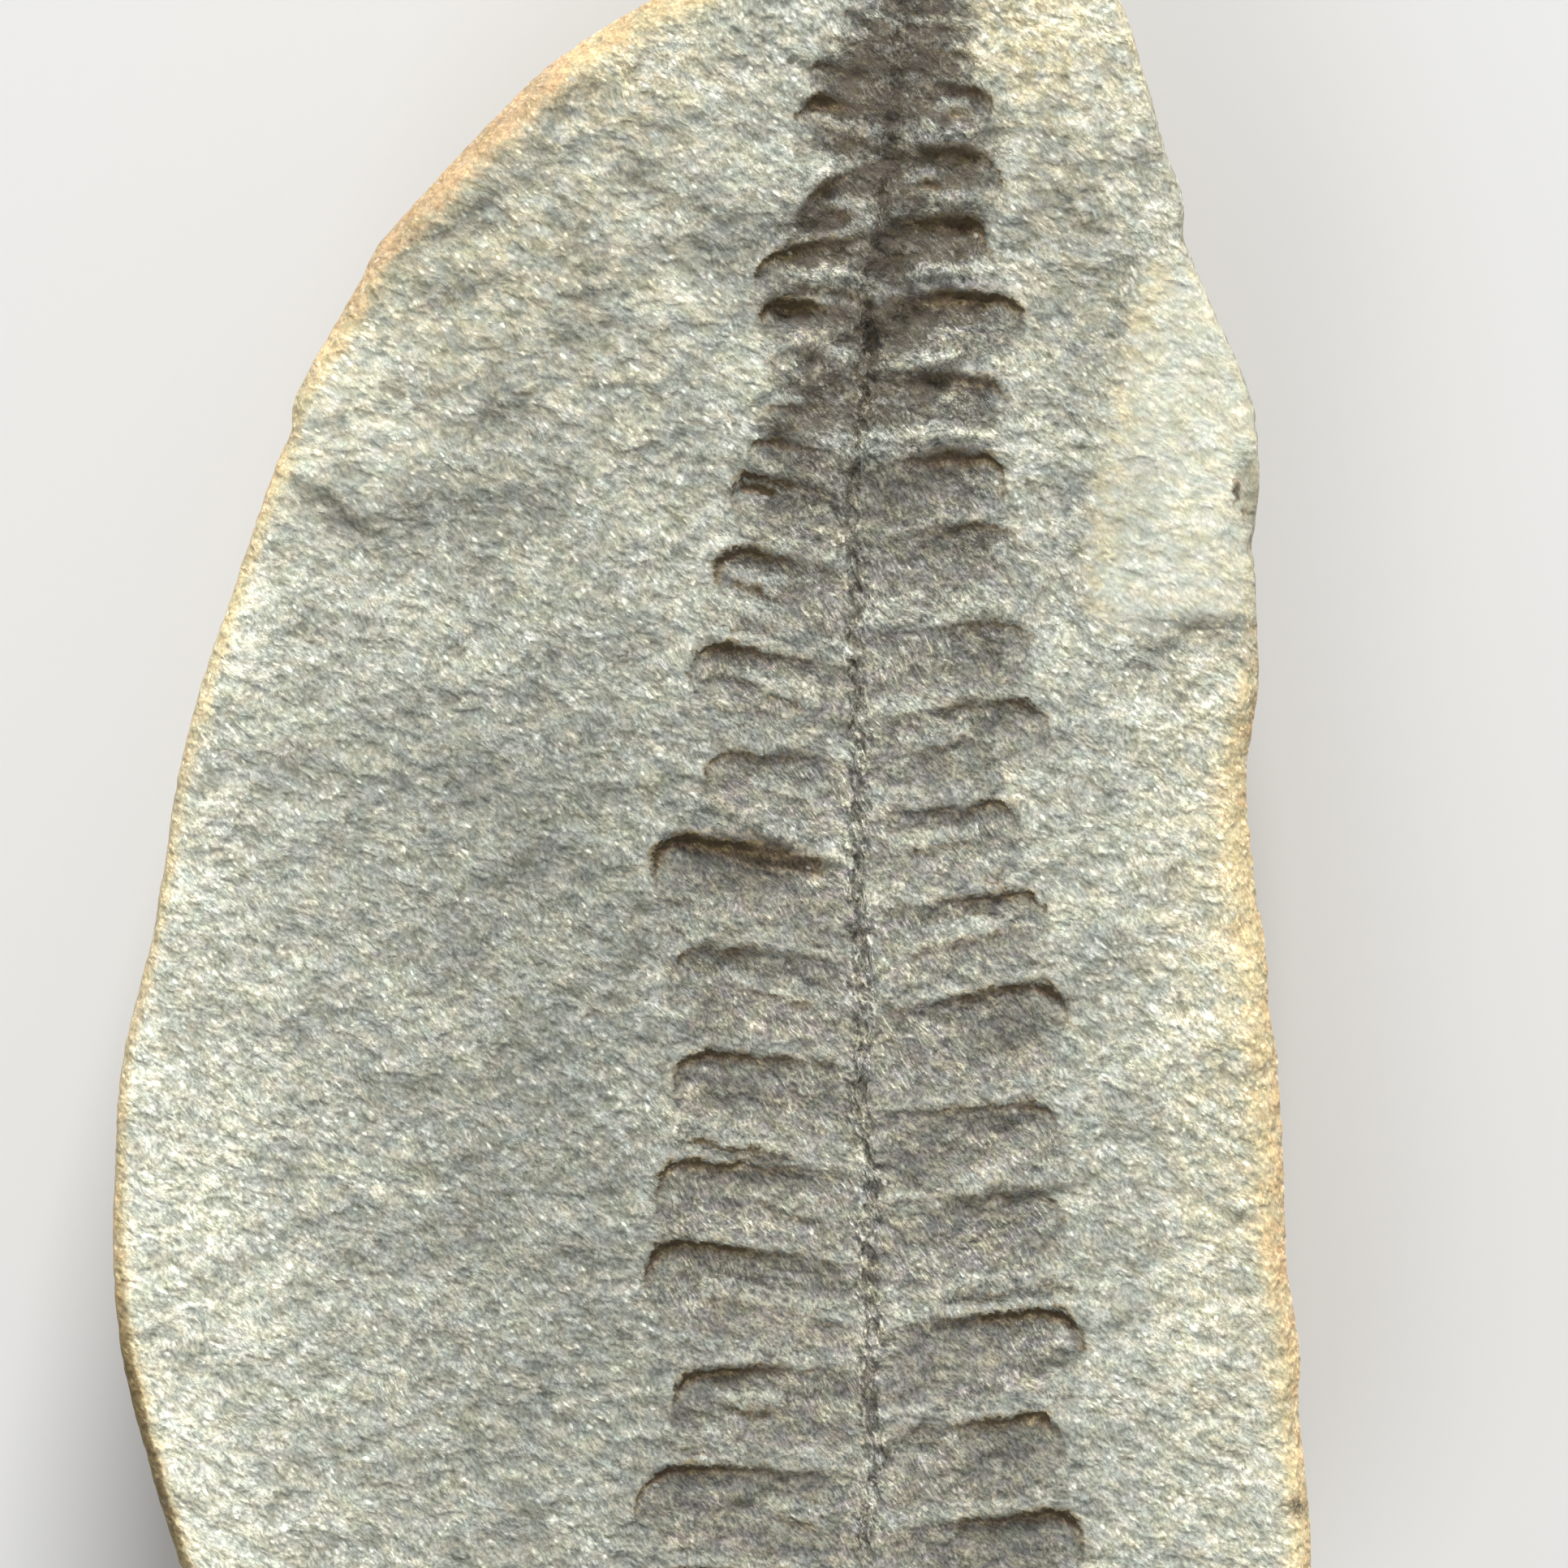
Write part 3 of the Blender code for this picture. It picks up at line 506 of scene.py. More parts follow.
def pinnule_print(out, y, row):
    """One pinnule's print: depth, distance inside its margin, shade, upper margin and lip."""
    base, reach, rise, bow, breadth, depth, vein = row
    share = np.clip(out / reach, 0.0, 1.5)
    half = breadth / 2.0
    middle = base + rise * share + 4.0 * bow * share * (1.0 - share) - half
    across = (y - middle) / half
    tip = np.clip((out - reach) / (TIP_ROUND * breadth) + 1.0, 0.0, None)
    inside = half * (1.0 - (tip**TIP_POWER + np.abs(across) ** TIP_POWER) ** (1.0 / TIP_POWER))
    height = np.clip((across + 1.0) / 2.0, 0.0, 1.0)
    end = smooth(0.75, 1.0, share) * smooth(0.0, 0.35, height)
    wall_breadth = LOWER_WALL + (UPPER_WALL - LOWER_WALL) * np.maximum(height, TIP_STEEPNESS * end)
    slope = np.clip(inside / SLOPE_BREADTH, 0.0, 1.0)
    wall = STEP_SHARE * smooth(0.0, wall_breadth, inside + UPPER_WALL / 2.0)
    wall += (1.0 - STEP_SHARE) * slope * (2.0 - slope)
    floor = 1.0 - (1.0 - LOWER_SHARE) * (1.0 - height) ** FLOOR_BEND
    step = vein * (across + 1.0) * smooth(0.1, -0.1, across)
    strength = INNER_SHARE + (SHOULDER_SHARE - INNER_SHARE) * smooth(0.15, 0.85, share)
    strength *= smooth(0.0, ROOT_FADE, out)
    corner = end * smooth(0.1, 0.7, height)
    # Where the upper margin's dark edge, painted shadow and painted highlight go, also round the tip.
    margin = np.maximum(smooth(0.45, 0.85, height), TIP_DARK * corner)
    margin *= strength * depth / FULL_DEPTH
    strength *= 1.0 - TIP_FADE * smooth(0.7, 1.0, share)
    lip = hump(inside + LIP_BREADTH, LIP_BREADTH) * smooth(0.5, 1.0, share)
    lip *= LIP_HEIGHT * strength * depth / FULL_DEPTH
    # Painted shade: darker in deeper prints, towards the upper margin and at the tip.
    shade = strength * depth / FULL_DEPTH * np.maximum(height, TIP_SHADE * end)
    return depth * strength * wall * (floor + step), inside, shade, margin, lip


def beside_line(x, y, ends, fade):
    """Distance to the right of a line, and a share that falls to 0 past its two ends."""
    start_x, start_y, end_x, end_y = ends
    length = math.hypot(end_x - start_x, end_y - start_y)
    way_x, way_y = (end_x - start_x) / length, (end_y - start_y) / length
    along = (x - start_x) * way_x + (y - start_y) * way_y
    beside = (x - start_x) * way_y - (y - start_y) * way_x
    return beside, smooth(-fade, fade, along) * smooth(-fade, fade, length - along)


def frond_print(x, y):
    """The whole frond: depth, distance inside the nearest margin, shade, upper margin, rachis."""
    out = x - rachis_x(y)
    ragged = 1.0 + RAGGED * flat_noise(x, y, RAGGED_LENGTH, octaves=2, layer=6)
    depth, lip = np.zeros_like(x), np.zeros_like(x)
    inside, shade, upper = np.full_like(x, NO_PRINT), np.zeros_like(x), np.zeros_like(x)
    for side, rows in ((-1.0, LEFT_PINNULES), (1.0, RIGHT_PINNULES)):
        for row in rows:
            near = (side * out > 0.0) & (side * out < row[1] + REACH_MARGIN)
            near = np.flatnonzero(near & (np.abs(y - row[0]) < HEIGHT_MARGIN))
            one = pinnule_print(side * out[near], y[near], row)
            depth[near] = np.maximum(depth[near], one[0])
            lip[near] = np.maximum(lip[near], one[4])
            nearest = one[1] > inside[near]
            for total, part in zip((inside, shade, upper), one[1:4]):
                total[near] = np.where(nearest, part, total[near])
    for *ends, strength in CREASES:
        below, amount = beside_line(x, y, ends, CREASE_END)
        amount = strength * amount * smooth(CREASE_BREADTH, CREASE_CORE, np.abs(below))
        claim = amount * (CREASE_BREADTH - np.abs(below))
        claim -= upper * np.clip(CREASE_BREADTH - np.abs(inside), 0.0, None)
        inside = np.where(claim > 0.0, below, inside)
        upper = np.where(claim > 0.0, amount, upper)
        upper *= np.where(amount > 0.0, smooth(0.0, CREASE_JOIN, np.abs(claim)), 1.0)
        depth += CREASE_DEPTH * amount * smooth(0.0, CREASE_WALL, below)
    groove = smooth(GROOVE_HALF_BREADTH, 0.0, np.abs(out)) * np.clip(ragged, 0.3, 1.3)
    beside = smooth(RACHIS_HALF_BREADTH, RACHIS_CORE, np.abs(out))
    grain = streak_noise(x, y, RACHIS_GRAIN_LENGTH, RACHIS_GRAIN, RACHIS_GRAIN_RISE, 3, 7)
    lip += RACHIS_ROUGHNESS * beside * grain
    depth = np.maximum(depth * ragged, GROOVE_DEPTH * groove) - lip
    return depth, np.clip(inside, NO_PRINT, None), shade, upper * ragged, beside


def scar_depth(x, y, row):
    """Depth of a scar with a steep wall along its line and a floor that rises from it."""
    *ends, breadth, depth = row
    beside, share = beside_line(x, y, ends, breadth / 2)
    return depth * share * smooth(0.0, SCAR_WALL, beside) * np.clip(1.0 - beside / breadth, 0.0, 1.0)


def spots(x, y, rows):
    """The sum of soft round spots."""
    total = np.zeros_like(x)
    for centre_x, centre_y, radius_x, radius_y, amount in rows:
        total += amount * np.exp(-(((x - centre_x) / radius_x) ** 2) - ((y - centre_y) / radius_y) ** 2)
    return total


def frond_cover(x, y):
    """1 within the reach of the pinnules, falling softly to 0 outside them."""
    out = x - rachis_x(y)
    left, right = (
        np.interp(y, *zip(*[row[:2] for row in rows[::-1]]))
        for rows in (LEFT_PINNULES, RIGHT_PINNULES)
    )
    return smooth(COVER_OUTSIDE, -COVER_INSIDE, np.abs(out) - np.where(out < 0.0, left, right))


def bright_layer(x, y):
    """Shares of the bright layer at the upper right and of its edge."""
    beyond = x - np.interp(y, *zip(*LAYER_LINE))
    bottom, low, high, top = LAYER_ENDS
    ends = smooth(bottom, low, y) * smooth(top, high, y)
    edge = hump(beyond - LAYER_EDGE, LAYER_EDGE_BREADTH)
    return smooth(*LAYER_RISE, beyond) * ends, edge * ends


def fine_relief(x, y, warped, lumpy, rugged, marks):
    """Height of the streaks, lumps and chips; some follow the warped places."""
    fine = STREAK_HEIGHT * streak_noise(x, y, STREAK_LENGTH, STREAK_BREADTH, STREAK_RISE, 3, 3)
    fine += FROND_LUMPS * lumpy * flat_noise(x, y, FROND_LUMP_LENGTH, octaves=3, layer=8)
    fine += FROND_SPOT_RELIEF * marks
    fine += RUGGED_HEIGHT * rugged * flat_noise(x, y, RUGGED_LENGTH, octaves=3, layer=9)
    fine += LUMPY_HEIGHT * flat_noise(x, y, LUMPY_LENGTH, octaves=3, layer=4)
    for seed, (length, breadth, rise, height) in enumerate(CHIPS):
        fine += height * facets(*warped, length, breadth, rise, seed)
    return fine


def face_relief(x, y):
    """Height of the split face and the shares that its material uses, all at x, y."""
    angle = np.arctan2(y, x)
    degrees = np.degrees(angle)
    rim = outline_radius(angle) - np.hypot(x, y)
    breadth = np.interp(degrees, *zip(*RIM), period=360.0)
    roll = RIM_DROP * breadth * np.clip(1.0 - rim / breadth, 0.0, 1.5) ** 2
    directions, *columns = zip(*RIND)
    rind_breadth, *rind_shares, margin = (
        np.interp(degrees, directions, column, period=360.0) for column in columns
    )
    swell = SWELL_HEIGHT * noise_at(np.column_stack([x, y, 0.0 * x]), SWELL_LENGTH, 3)

    warped = (
        x + WARP * flat_noise(x, y, WARP_LENGTH, octaves=4, layer=1),
        y + WARP * flat_noise(x, y, WARP_LENGTH, octaves=4, layer=2),
    )
    depth, inside, shade, upper, rachis = frond_print(*warped)
    scars = np.max([scar_depth(*warped, row) for row in SCARS], axis=0)
    cover = frond_cover(*warped)
    film = cover * np.interp(y, *zip(*FROND_FILM))
    marks, rugged = spots(*warped, FROND_SPOTS), spots(x, y, RUGGED_SPOTS)
    layer, layer_edge = bright_layer(warped[0], y)
    fine = fine_relief(x, y, warped, COVER_LUMPS * cover + film, rugged, marks)
    fine *= 1.0 - LAYER_SMOOTHNESS * layer
    height = THICKNESS + swell - roll - np.maximum(depth, scars) + fine

    stone_tone = STONE_TONE + spots(x, y, TONE_SPOTS) + LAYER_TONE * layer
    stone_tone += margin * hump(rim, MARGIN_BREADTH)
    printed = cover * (1.0 - GAP_LIGHT * smooth(GAP_FADE, -GAP_FADE, inside))
    # The frond's spots: dark film and painted shade in hollows, painted light on ridges.
    tone = stone_tone + printed * np.minimum(np.interp(y, *zip(*FROND_TONE)) - stone_tone, 0.0) + marks
    aside = np.abs(warped[0] - rachis_x(warped[1]))
    tone *= 1.0 - RACHIS_SHADE * hump(aside, RACHIS_SHADE_BREADTH)
    tone *= 1.0 + SHOULDER_LIGHT * (1.0 - film) * hump(aside - SHOULDER_PLACE, SHOULDER_BREADTH)
    return height, {
        "tone": np.clip(tone, 0.05, 1.0),
        "calm": layer,
        "rugged": np.clip(rugged, 0.0, 1.0),
        "cover": cover, "film": film, "rachis": rachis,
        "inside": inside, "shade": shade, "upper": upper,
        # Painted shade in the scars, by their depth.
        "scar": np.clip(scars / DARK_SCAR_DEPTH, 0.0, 1.0),
        "stain": np.clip(spots(*warped, STAIN_SPOTS), 0.0, 1.0),
        "cream": np.clip(spots(x, y, CREAM_SPOTS) + LAYER_EDGE_CREAM * layer_edge, 0.0, 1.0),
        "rind": np.clip(1.0 - rim / (2.0 * rind_breadth), 0.0, 1.0),
        **dict(zip(RIND_SHARES, rind_shares)),
    }


def lattice(start_x, end_x, step):
    """Points of a triangular lattice between two x values, over the stone's whole length."""
    row_step = step * math.sqrt(0.75)
    reach = max(y for _, y in OUTLINE) + 1.0
    rows = []
    for index, y in enumerate(np.arange(-reach, reach, row_step)):
        x = np.arange(start_x + (index % 2) * step / 2.0, end_x, step)
        rows.append(np.column_stack([x, np.full_like(x, y)]))
    return np.concatenate(rows)


def rim_places():
    """The rim's directions, and x, y of its points, a little rough."""
    angle = np.linspace(-math.pi, math.pi, RIM_STEPS, endpoint=False)
    way = np.column_stack([np.cos(angle), np.sin(angle)])
    radius = rim_radius(angle)
    radius += EDGE_ROUGHNESS * flat_noise(*(radius[:, None] * way).T, EDGE_LENGTH, octaves=3, layer=5)
    return angle, radius[:, None] * way


def face_places(rim):
    """The rim's points, then the lattice's points inside it."""
    inner = np.concatenate([
        lattice(FRAME_LEFT, FRAME_RIGHT, FINE_STEP),
        lattice(-LATTICE_REACH, FRAME_LEFT, COARSE_STEP),
        lattice(FRAME_RIGHT, LATTICE_REACH, COARSE_STEP),
    ])
    radius = rim_radius(np.arctan2(inner[:, 1], inner[:, 0]))
    kept = inner[np.hypot(inner[:, 0], inner[:, 1]) < radius - RIM_GAP]
    jitter = np.random.default_rng(JITTER_SEED).uniform(-JITTER, JITTER, kept.shape) * FINE_STEP
    return np.concatenate([rim, kept + jitter])


def side_places(angle, rim, rim_heights):
    """Rings of points from under the rim, round the nodule's back, down to the foot."""
    level = np.clip((rim_heights - GIRDLE_HEIGHT) / DOME_HEIGHT, 0.0, 1.0)
    top = np.arcsin(level ** (1.0 / ROUNDNESS))
    tall = GIRDLE_HEIGHT + FOOT_CUT
    bottom = -math.asin((GIRDLE_HEIGHT / tall) ** (1.0 / ROUNDNESS))
    outline = outline_radius(angle)
    rings = []
    for step in range(1, SIDE_STEPS + 1):
        latitude = top + (bottom - top) * (step / SIDE_STEPS)
        spread = np.cos(latitude) ** ROUNDNESS
        scale = np.where(latitude > 0.0, DOME_HEIGHT, tall)
        rise = np.sign(latitude) * np.abs(np.sin(latitude)) ** ROUNDNESS * scale
        fade = smooth(0.0, RIM_FADE_STEPS, step)
        edge = (1.0 - fade) * np.hypot(*rim.T) + fade * outline * RIM_SHARE
        radius = edge + outline * (spread - np.cos(top) ** ROUNDNESS)
        ring = np.column_stack([radius * np.cos(angle), radius * np.sin(angle), rise])
        lumps = LUMP_HEIGHT * noise_at(ring, LUMP_LENGTH, 3) * (1.0 - spread**LUMP_POWER)
        lumps += BACK_ROUGHNESS * fade * noise_at(ring + BACK_NOISE_SHIFT, BACK_LENGTH, 4)
        ring *= 1.0 + (lumps / np.linalg.norm(ring, axis=1))[:, None]
        ring[:, 2] += GIRDLE_HEIGHT
        if step == SIDE_STEPS:
            ring[:, 2] = 0.0
        rings.append(ring)
    return rings


def make_stone():
    """The whole stone as one closed mesh, with its material's shares as attributes."""
    angle, rim = rim_places()
    flat = face_places(rim)
    rim_loop = list(range(RIM_STEPS))
    corners = [Vector(place) for place in flat]
    triangles = delaunay_2d_cdt(corners, [], [rim_loop], INSIDE_ONLY, MERGE_DISTANCE)[2]
    heights, shares = face_relief(*flat.T)
    rings = side_places(angle, rim, heights[:RIM_STEPS])
    places = np.concatenate([np.column_stack([flat, heights]), *rings])
    places[:, 2] = np.maximum(places[:, 2], 0.0)
    faces = [list(face) for face in triangles]
    upper = rim_loop
    for step in range(SIDE_STEPS):
        start = len(flat) + step * RIM_STEPS
        lower = list(range(start, start + RIM_STEPS))
        for index in range(RIM_STEPS):
            after = (index + 1) % RIM_STEPS
            faces.append([upper[after], upper[index], lower[index], lower[after]])
        upper = lower
    faces.append(upper[::-1])
    mesh = bpy.data.meshes.new(STONE_PIECE)
    mesh.from_pydata((places * MM).tolist(), [], faces)
    mesh.shade_smooth()
    for name, values in shares.items():
        if name in RIND_SHARES:
            rest = np.tile(values[:RIM_STEPS], SIDE_STEPS)
        else:
            rest = np.full(len(places) - len(flat), SIDE_SHARES.get(name, 0.0))
        attribute = mesh.attributes.new(name, "FLOAT", "POINT")
        attribute.data.foreach_set("value", np.concatenate([values, rest]).astype(np.float32))
    return link_object(STONE_PIECE, mesh)


def link_object(name, data):
    """A new object of the scene that shows the data."""
    made = bpy.data.objects.new(name, data)
    bpy.context.scene.collection.objects.link(made)
    return made


class Nodes:
    """Short forms for building a material's node tree."""

    def __init__(self, tree):
        self.tree = tree
        self.shares = {}

    def node(self, kind, inputs=(), **settings):
        """A new node; each input is a value or another node's output."""
        made = self.tree.nodes.new(kind)
        for name, value in settings.items():
            setattr(made, name, value)
        for key, value in dict(inputs).items():
            if isinstance(value, bpy.types.NodeSocket):
                self.tree.links.new(value, made.inputs[key])
            else:
                made.inputs[key].default_value = value
        return made

    def share(self, name):
        """A share that the mesh carries as an attribute."""
        if name not in self.shares:
            made = self.node("ShaderNodeAttribute", attribute_name=name)
            self.shares[name] = made.outputs["Fac"]
        return self.shares[name]

    def math(self, operation, *values):
        return self.node("ShaderNodeMath", enumerate(values), operation=operation).outputs[0]

    def vector(self, operation, *values):
        return self.node("ShaderNodeVectorMath", enumerate(values), operation=operation).outputs[0]

    def times(self, first, *others):
        """The product of all the values."""
        for other in others:
            first = self.math("MULTIPLY", first, other)
        return first

    def plus(self, first, second):
        return self.math("ADD", first, second)

    def line(self, value, slope, start):
        """The value times the slope, plus the start."""
        return self.math("MULTIPLY_ADD", value, slope, start)

    def changed(self, light, change, strength=1.0):
        """The lightness times 1 plus the change, which is scaled by the strength."""
        return self.times(light, self.line(change, strength, 1.0))

    def scaled(self, colour, factor):
        inputs = {0: colour, "Scale": factor}
        return self.node("ShaderNodeVectorMath", inputs, operation="SCALE").outputs[0]

    def ramp(self, value, start, end, low=0.0, high=1.0):
        """Maps start..end to low..high along an S curve, and clips it."""
        inputs = {"Value": value, "From Min": start, "From Max": end, "To Min": low, "To Max": high}
        return self.node("ShaderNodeMapRange", inputs, interpolation_type="SMOOTHSTEP").outputs[0]

    def bell(self, value, centre, half_breadth):
        """1 where the value is at the centre, falling to 0 at the half breadth from it."""
        away = self.math("ABSOLUTE", self.math("SUBTRACT", value, centre))
        return self.ramp(away, half_breadth, 0.0)

    def mix(self, share, first, second, blend="MIX"):
        inputs = {0: share, 6: first, 7: second}
        return self.node("ShaderNodeMix", inputs, data_type="RGBA", blend_type=blend).outputs[2]

    def grain_space(self, place, turn, length, breadth):
        """The place measured along and across grains of that size and direction."""
        rotation, scale = (0.0, 0.0, math.radians(turn)), (length, breadth, breadth)
        inputs = {"Vector": place, "Rotation": rotation, "Scale": scale}
        return self.node("ShaderNodeMapping", inputs, vector_type="TEXTURE").outputs[0]

    def noise(self, place, turn, length, breadth, detail, roughness):
        """Noise whose lumps have that direction and size."""
        here = self.grain_space(place, turn, length, breadth)
        inputs = {"Vector": here, "Scale": 1.0, "Detail": detail, "Roughness": roughness}
        return self.node("ShaderNodeTexNoise", inputs).outputs["Fac"]

    def chips(self, place, turn, length, breadth):
        """Flat chips: their relief, the distance from their middles, and random shares."""
        here = self.grain_space(place, turn, length, breadth)
        cells = self.node("ShaderNodeTexVoronoi", {"Vector": here, "Scale": 1.0})
        offset = self.vector("SUBTRACT", here, cells.outputs["Position"])
        tilt = self.vector("SUBTRACT", cells.outputs["Color"], (0.5, 0.5, 0.5))
        relief = self.node("ShaderNodeVectorMath", {0: offset, 1: tilt}, operation="DOT_PRODUCT")
        random = self.node("ShaderNodeSeparateColor", {0: cells.outputs["Color"]})
        return relief.outputs["Value"], cells.outputs["Distance"], random.outputs


def add_patterns(n, s):
    """The patterns that cover the whole stone."""
    place = n.node("ShaderNodeTexCoord").outputs["Object"]
    place = n.vector("MULTIPLY", place, (1.0 / MM,) * 3)
    bend = n.node("ShaderNodeTexNoise", {"Vector": place, "Scale": BEND_SCALE, "Detail": 0.0})
    place = n.vector("ADD", place, n.vector("MULTIPLY", bend.outputs["Color"], (BEND, BEND, 0.0)))
    for name, row in PATTERNS.items():
        setattr(s, name, n.noise(place, *row))
    s.height = n.node("ShaderNodeSeparateXYZ", {0: place}).outputs["Z"]
    s.big, s.big_distance, s.big_random = n.chips(place, *BIG_CHIPS)
    s.small, s.small_distance, s.small_random = n.chips(place, *SMALL_CHIPS)
    s.crowd = n.ramp(s.swarm, 0.35, 0.65, 0.15, 1.0)
    # Flakes that show painted glints, and their relief.
    s.flake = n.times(n.ramp(s.flakes, 0.60, 0.72), s.crowd)
    s.rough = n.line(s.grit, 1.2, -0.6)


def add_print(n, s):
    """The shares of the print's dark edge and the brown shadow below it, partly painted shade of the
    upper wall; of the ochre tint; of the pale lit ridge above the margin, a painted highlight; and of
    the film, with painted shade.
    """
    film, upper = n.share("film"), n.share("upper")
    inside = n.plus(n.plus(n.share("inside"), n.line(s.grit, 0.5, -0.25)), n.line(s.blotch, 0.4, -0.2))
    s.inside = n.times(inside, n.line(film, -0.4, 1.0))
    # The dark edge: painted shade of the steep upper wall, with the print's brown.
    dark = n.times(n.bell(s.inside, *EDGE_LINE), upper)
    s.edge = n.ramp(n.line(s.rough, 1.6, dark), 0.25, 0.95)
    # Below the margin: the painted shadow that the upper wall casts, brown like the print.
    below = n.times(n.ramp(s.inside, BAND_BREADTH, 0.0), n.ramp(s.inside, -0.04, 0.06))
    s.band = n.ramp(n.plus(n.times(below, upper), s.rough), 0.15, 0.85)
    s.tint = n.times(n.bell(s.inside, *TINT_LINE), n.times(upper, n.ramp(s.blotch, 0.4, 0.6)))
    # The crest above the margin: a painted highlight on the lit ridge.
    crest = n.times(n.bell(s.inside, *CREST_LINE), n.times(upper, n.ramp(s.grit, 0.35, 0.52)))
    s.crest = n.times(crest, n.line(film, 0.40, 0.14))
    # Painted shade in the print, deepest under the upper margin and at the tip, with the dark film.
    dimmed = n.times(n.ramp(s.inside, -0.08, 0.10), n.line(n.share("shade"), 0.48, 0.08))
    s.dimmed = n.times(dimmed, n.line(film, 0.5, 1.0))
    patchy = n.plus(n.times(s.blotch, 0.6), n.times(s.grit, 0.4))
    thick = n.times(film, n.ramp(patchy, 0.60, 0.38, 0.0, 0.8))
    s.thick_film = n.times(thick, n.ramp(n.share("tone"), 0.36, 0.20))
    s.printed = n.times(n.share("cover"), n.ramp(s.inside, -0.15, 0.15, 0.3, 1.0))


def add_rind(n, s):
    """The shares of the rind and its colours, with painted shade on the nodule's side and on the dark
    rind at the lower left, and of the contrast that is left on calm stone.
    """
    uneven = n.plus(n.line(s.blotch, 0.5, -0.25), n.line(s.grit, 0.3, -0.15))
    edge = n.plus(n.share("rind"), uneven)
    s.creamy = n.times(n.ramp(edge, -0.05, 0.50), n.share("ochre"))
    s.rind = n.times(n.ramp(edge, 0.26, 0.64), n.share("ochre"))
    # The side below the rim: its colour with painted shade.
    s.side = n.times(n.ramp(s.height, *SIDE_HEIGHTS), n.ramp(n.share("rind"), 0.95, 1.0))
    # Dark rind at the lower left: olive-brown colour with painted shade of the side in shadow.
    s.olive = n.times(n.share("olive"), n.ramp(edge, 0.50, 0.70))
    pink = n.plus(n.share("pink"), n.ramp(s.tinge, 0.35, 0.65, -0.2, 0.2))
    s.pink = n.plus(pink, n.ramp(edge, 0.5, 1.1, -0.2, 0.4))
    calm = n.math("MAXIMUM", n.share("calm"), n.times(s.rind, 0.6))
    s.even = n.line(calm, -0.5, 1.0)


def stone_hue(n, s):
    """The colour at an even lightness."""
    hue = n.mix(n.ramp(s.mottle, 0.48, 0.70, 0.0, 0.8), STONE_HUE, OLIVE_GREY)
    hue = n.mix(n.ramp(n.share("tone"), 0.35, 0.70, 0.05, 0.65), hue, PALE_HUE)
    hue = n.mix(n.times(n.share("cream"), n.ramp(s.tinge, 0.3, 0.6, 0.35, 1.0)), hue, CREAM)
    film_hue = n.mix(n.ramp(s.clumps, 0.35, 0.62), FILM_LILAC, FILM_OLIVE)
    film_hue = n.mix(n.ramp(n.share("tone"), 0.26, 0.12), film_hue, FILM_UMBER)
    hue = n.mix(n.times(s.printed, n.ramp(s.blotch, 0.3, 0.6, 0.6, 1.0)), hue, film_hue)
    rind_hue = n.mix(n.ramp(s.pink, 0.1, 0.9), RIND_OCHRE, RIND_PINK)
    # Olive hue of the side and the lower-left rind, under their painted shade.
    rind_hue = n.mix(n.math("MAXIMUM", n.times(s.side, 0.6), s.olive), rind_hue, RIND_OLIVE)
    hue = n.mix(n.times(s.creamy, 0.7), hue, CREAM)
    hue = n.mix(n.math("MAXIMUM", s.rind, s.side), hue, rind_hue)
    hue = n.mix(1.0, hue, n.mix(n.ramp(s.tinge, 0.32, 0.68), COOLER, WARMER), "MULTIPLY")
    return n.mix(1.0, hue, n.mix(n.ramp(s.blotch, 0.36, 0.64), GREENER, PINKER), "MULTIPLY")


def stone_light(n, s):
    """The lightness: the mesh's tone, changed by each pattern and mark, some of them painted shade and
    painted glints.
    """
    tone, cover, film, rachis = (n.share(name) for name in ("tone", "cover", "film", "rachis"))
    rugged = n.share("rugged")
    light = n.plus(tone, n.times(s.rind, n.math("SUBTRACT", n.share("rind_tone"), tone)))
    light = n.changed(light, n.ramp(s.blotch, *PATCH_LIGHT), s.even)
    # Painted shade on the nodule's side, and on the dark rind at the lower left.
    light = n.changed(light, s.side, SIDE_LIGHT)
    light = n.changed(light, s.olive, OLIVE_LIGHT)
    light = n.changed(light, n.times(s.rind, n.ramp(s.blotch, 0.54, 0.66)), RIND_SPECK_LIGHT)
    light = n.changed(light, n.times(n.ramp(s.grit, *GRIT_LIGHT), n.line(film, 2.0, s.even)))
    # Painted glints on the flakes, with the speckle.
    fine = n.line(s.flake, FLAKE_LIGHT, n.ramp(s.speckle, *SPECKLE_LIGHT))
    crisp = n.line(film, 0.35, n.line(cover, 0.25, n.line(rugged, -0.4, 1.0)))
    light = n.changed(light, n.times(fine, s.even, crisp))
    # Painted shade in the prints, with the dark film.
    light = n.times(light, n.math("SUBTRACT", 1.06, s.dimmed))
    coarse = n.plus(n.ramp(s.mottle, *MOTTLE_LIGHT), n.ramp(s.swarm, *SWARM_LIGHT))
    coarse = n.times(coarse, n.plus(rugged, 1.0))
    coarse = n.plus(n.ramp(s.clumps, *CLUMP_LIGHT), coarse)
    light = n.changed(light, n.times(coarse, s.even))
    # Painted shade in the scars, darker where they are deeper.
    light = n.changed(light, n.share("scar"), SCAR_LIGHT)
    for distance, random, power, strength in (
        (s.big_distance, s.big_random[0], *BIG_GLEAM),
        (s.small_distance, s.small_random[0], *SMALL_GLEAM),
    ):
        gleam = n.times(n.math("POWER", random, power), n.ramp(distance, 0.6, 0.2))
        gleam = n.times(gleam, n.line(cover, -0.6, s.even))
        light = n.times(light, n.line(gleam, strength, 0.94))
    bright = n.times(rachis, n.ramp(s.grains, *RACHIS_LIGHT))
    light = n.changed(light, n.times(bright, n.line(film, -0.6, 1.0)))
    hair = n.times(n.ramp(s.veins, 0.57, 0.66), n.ramp(s.swarm, 0.42, 0.55))
    hair = n.times(hair, n.times(cover, n.ramp(s.inside, 0.05, 0.4)))
    light = n.changed(light, hair, HAIR_LIGHT)
    return n.changed(light, n.times(rachis, n.ramp(s.grains, 0.42, 0.34)), CRACK_LIGHT)


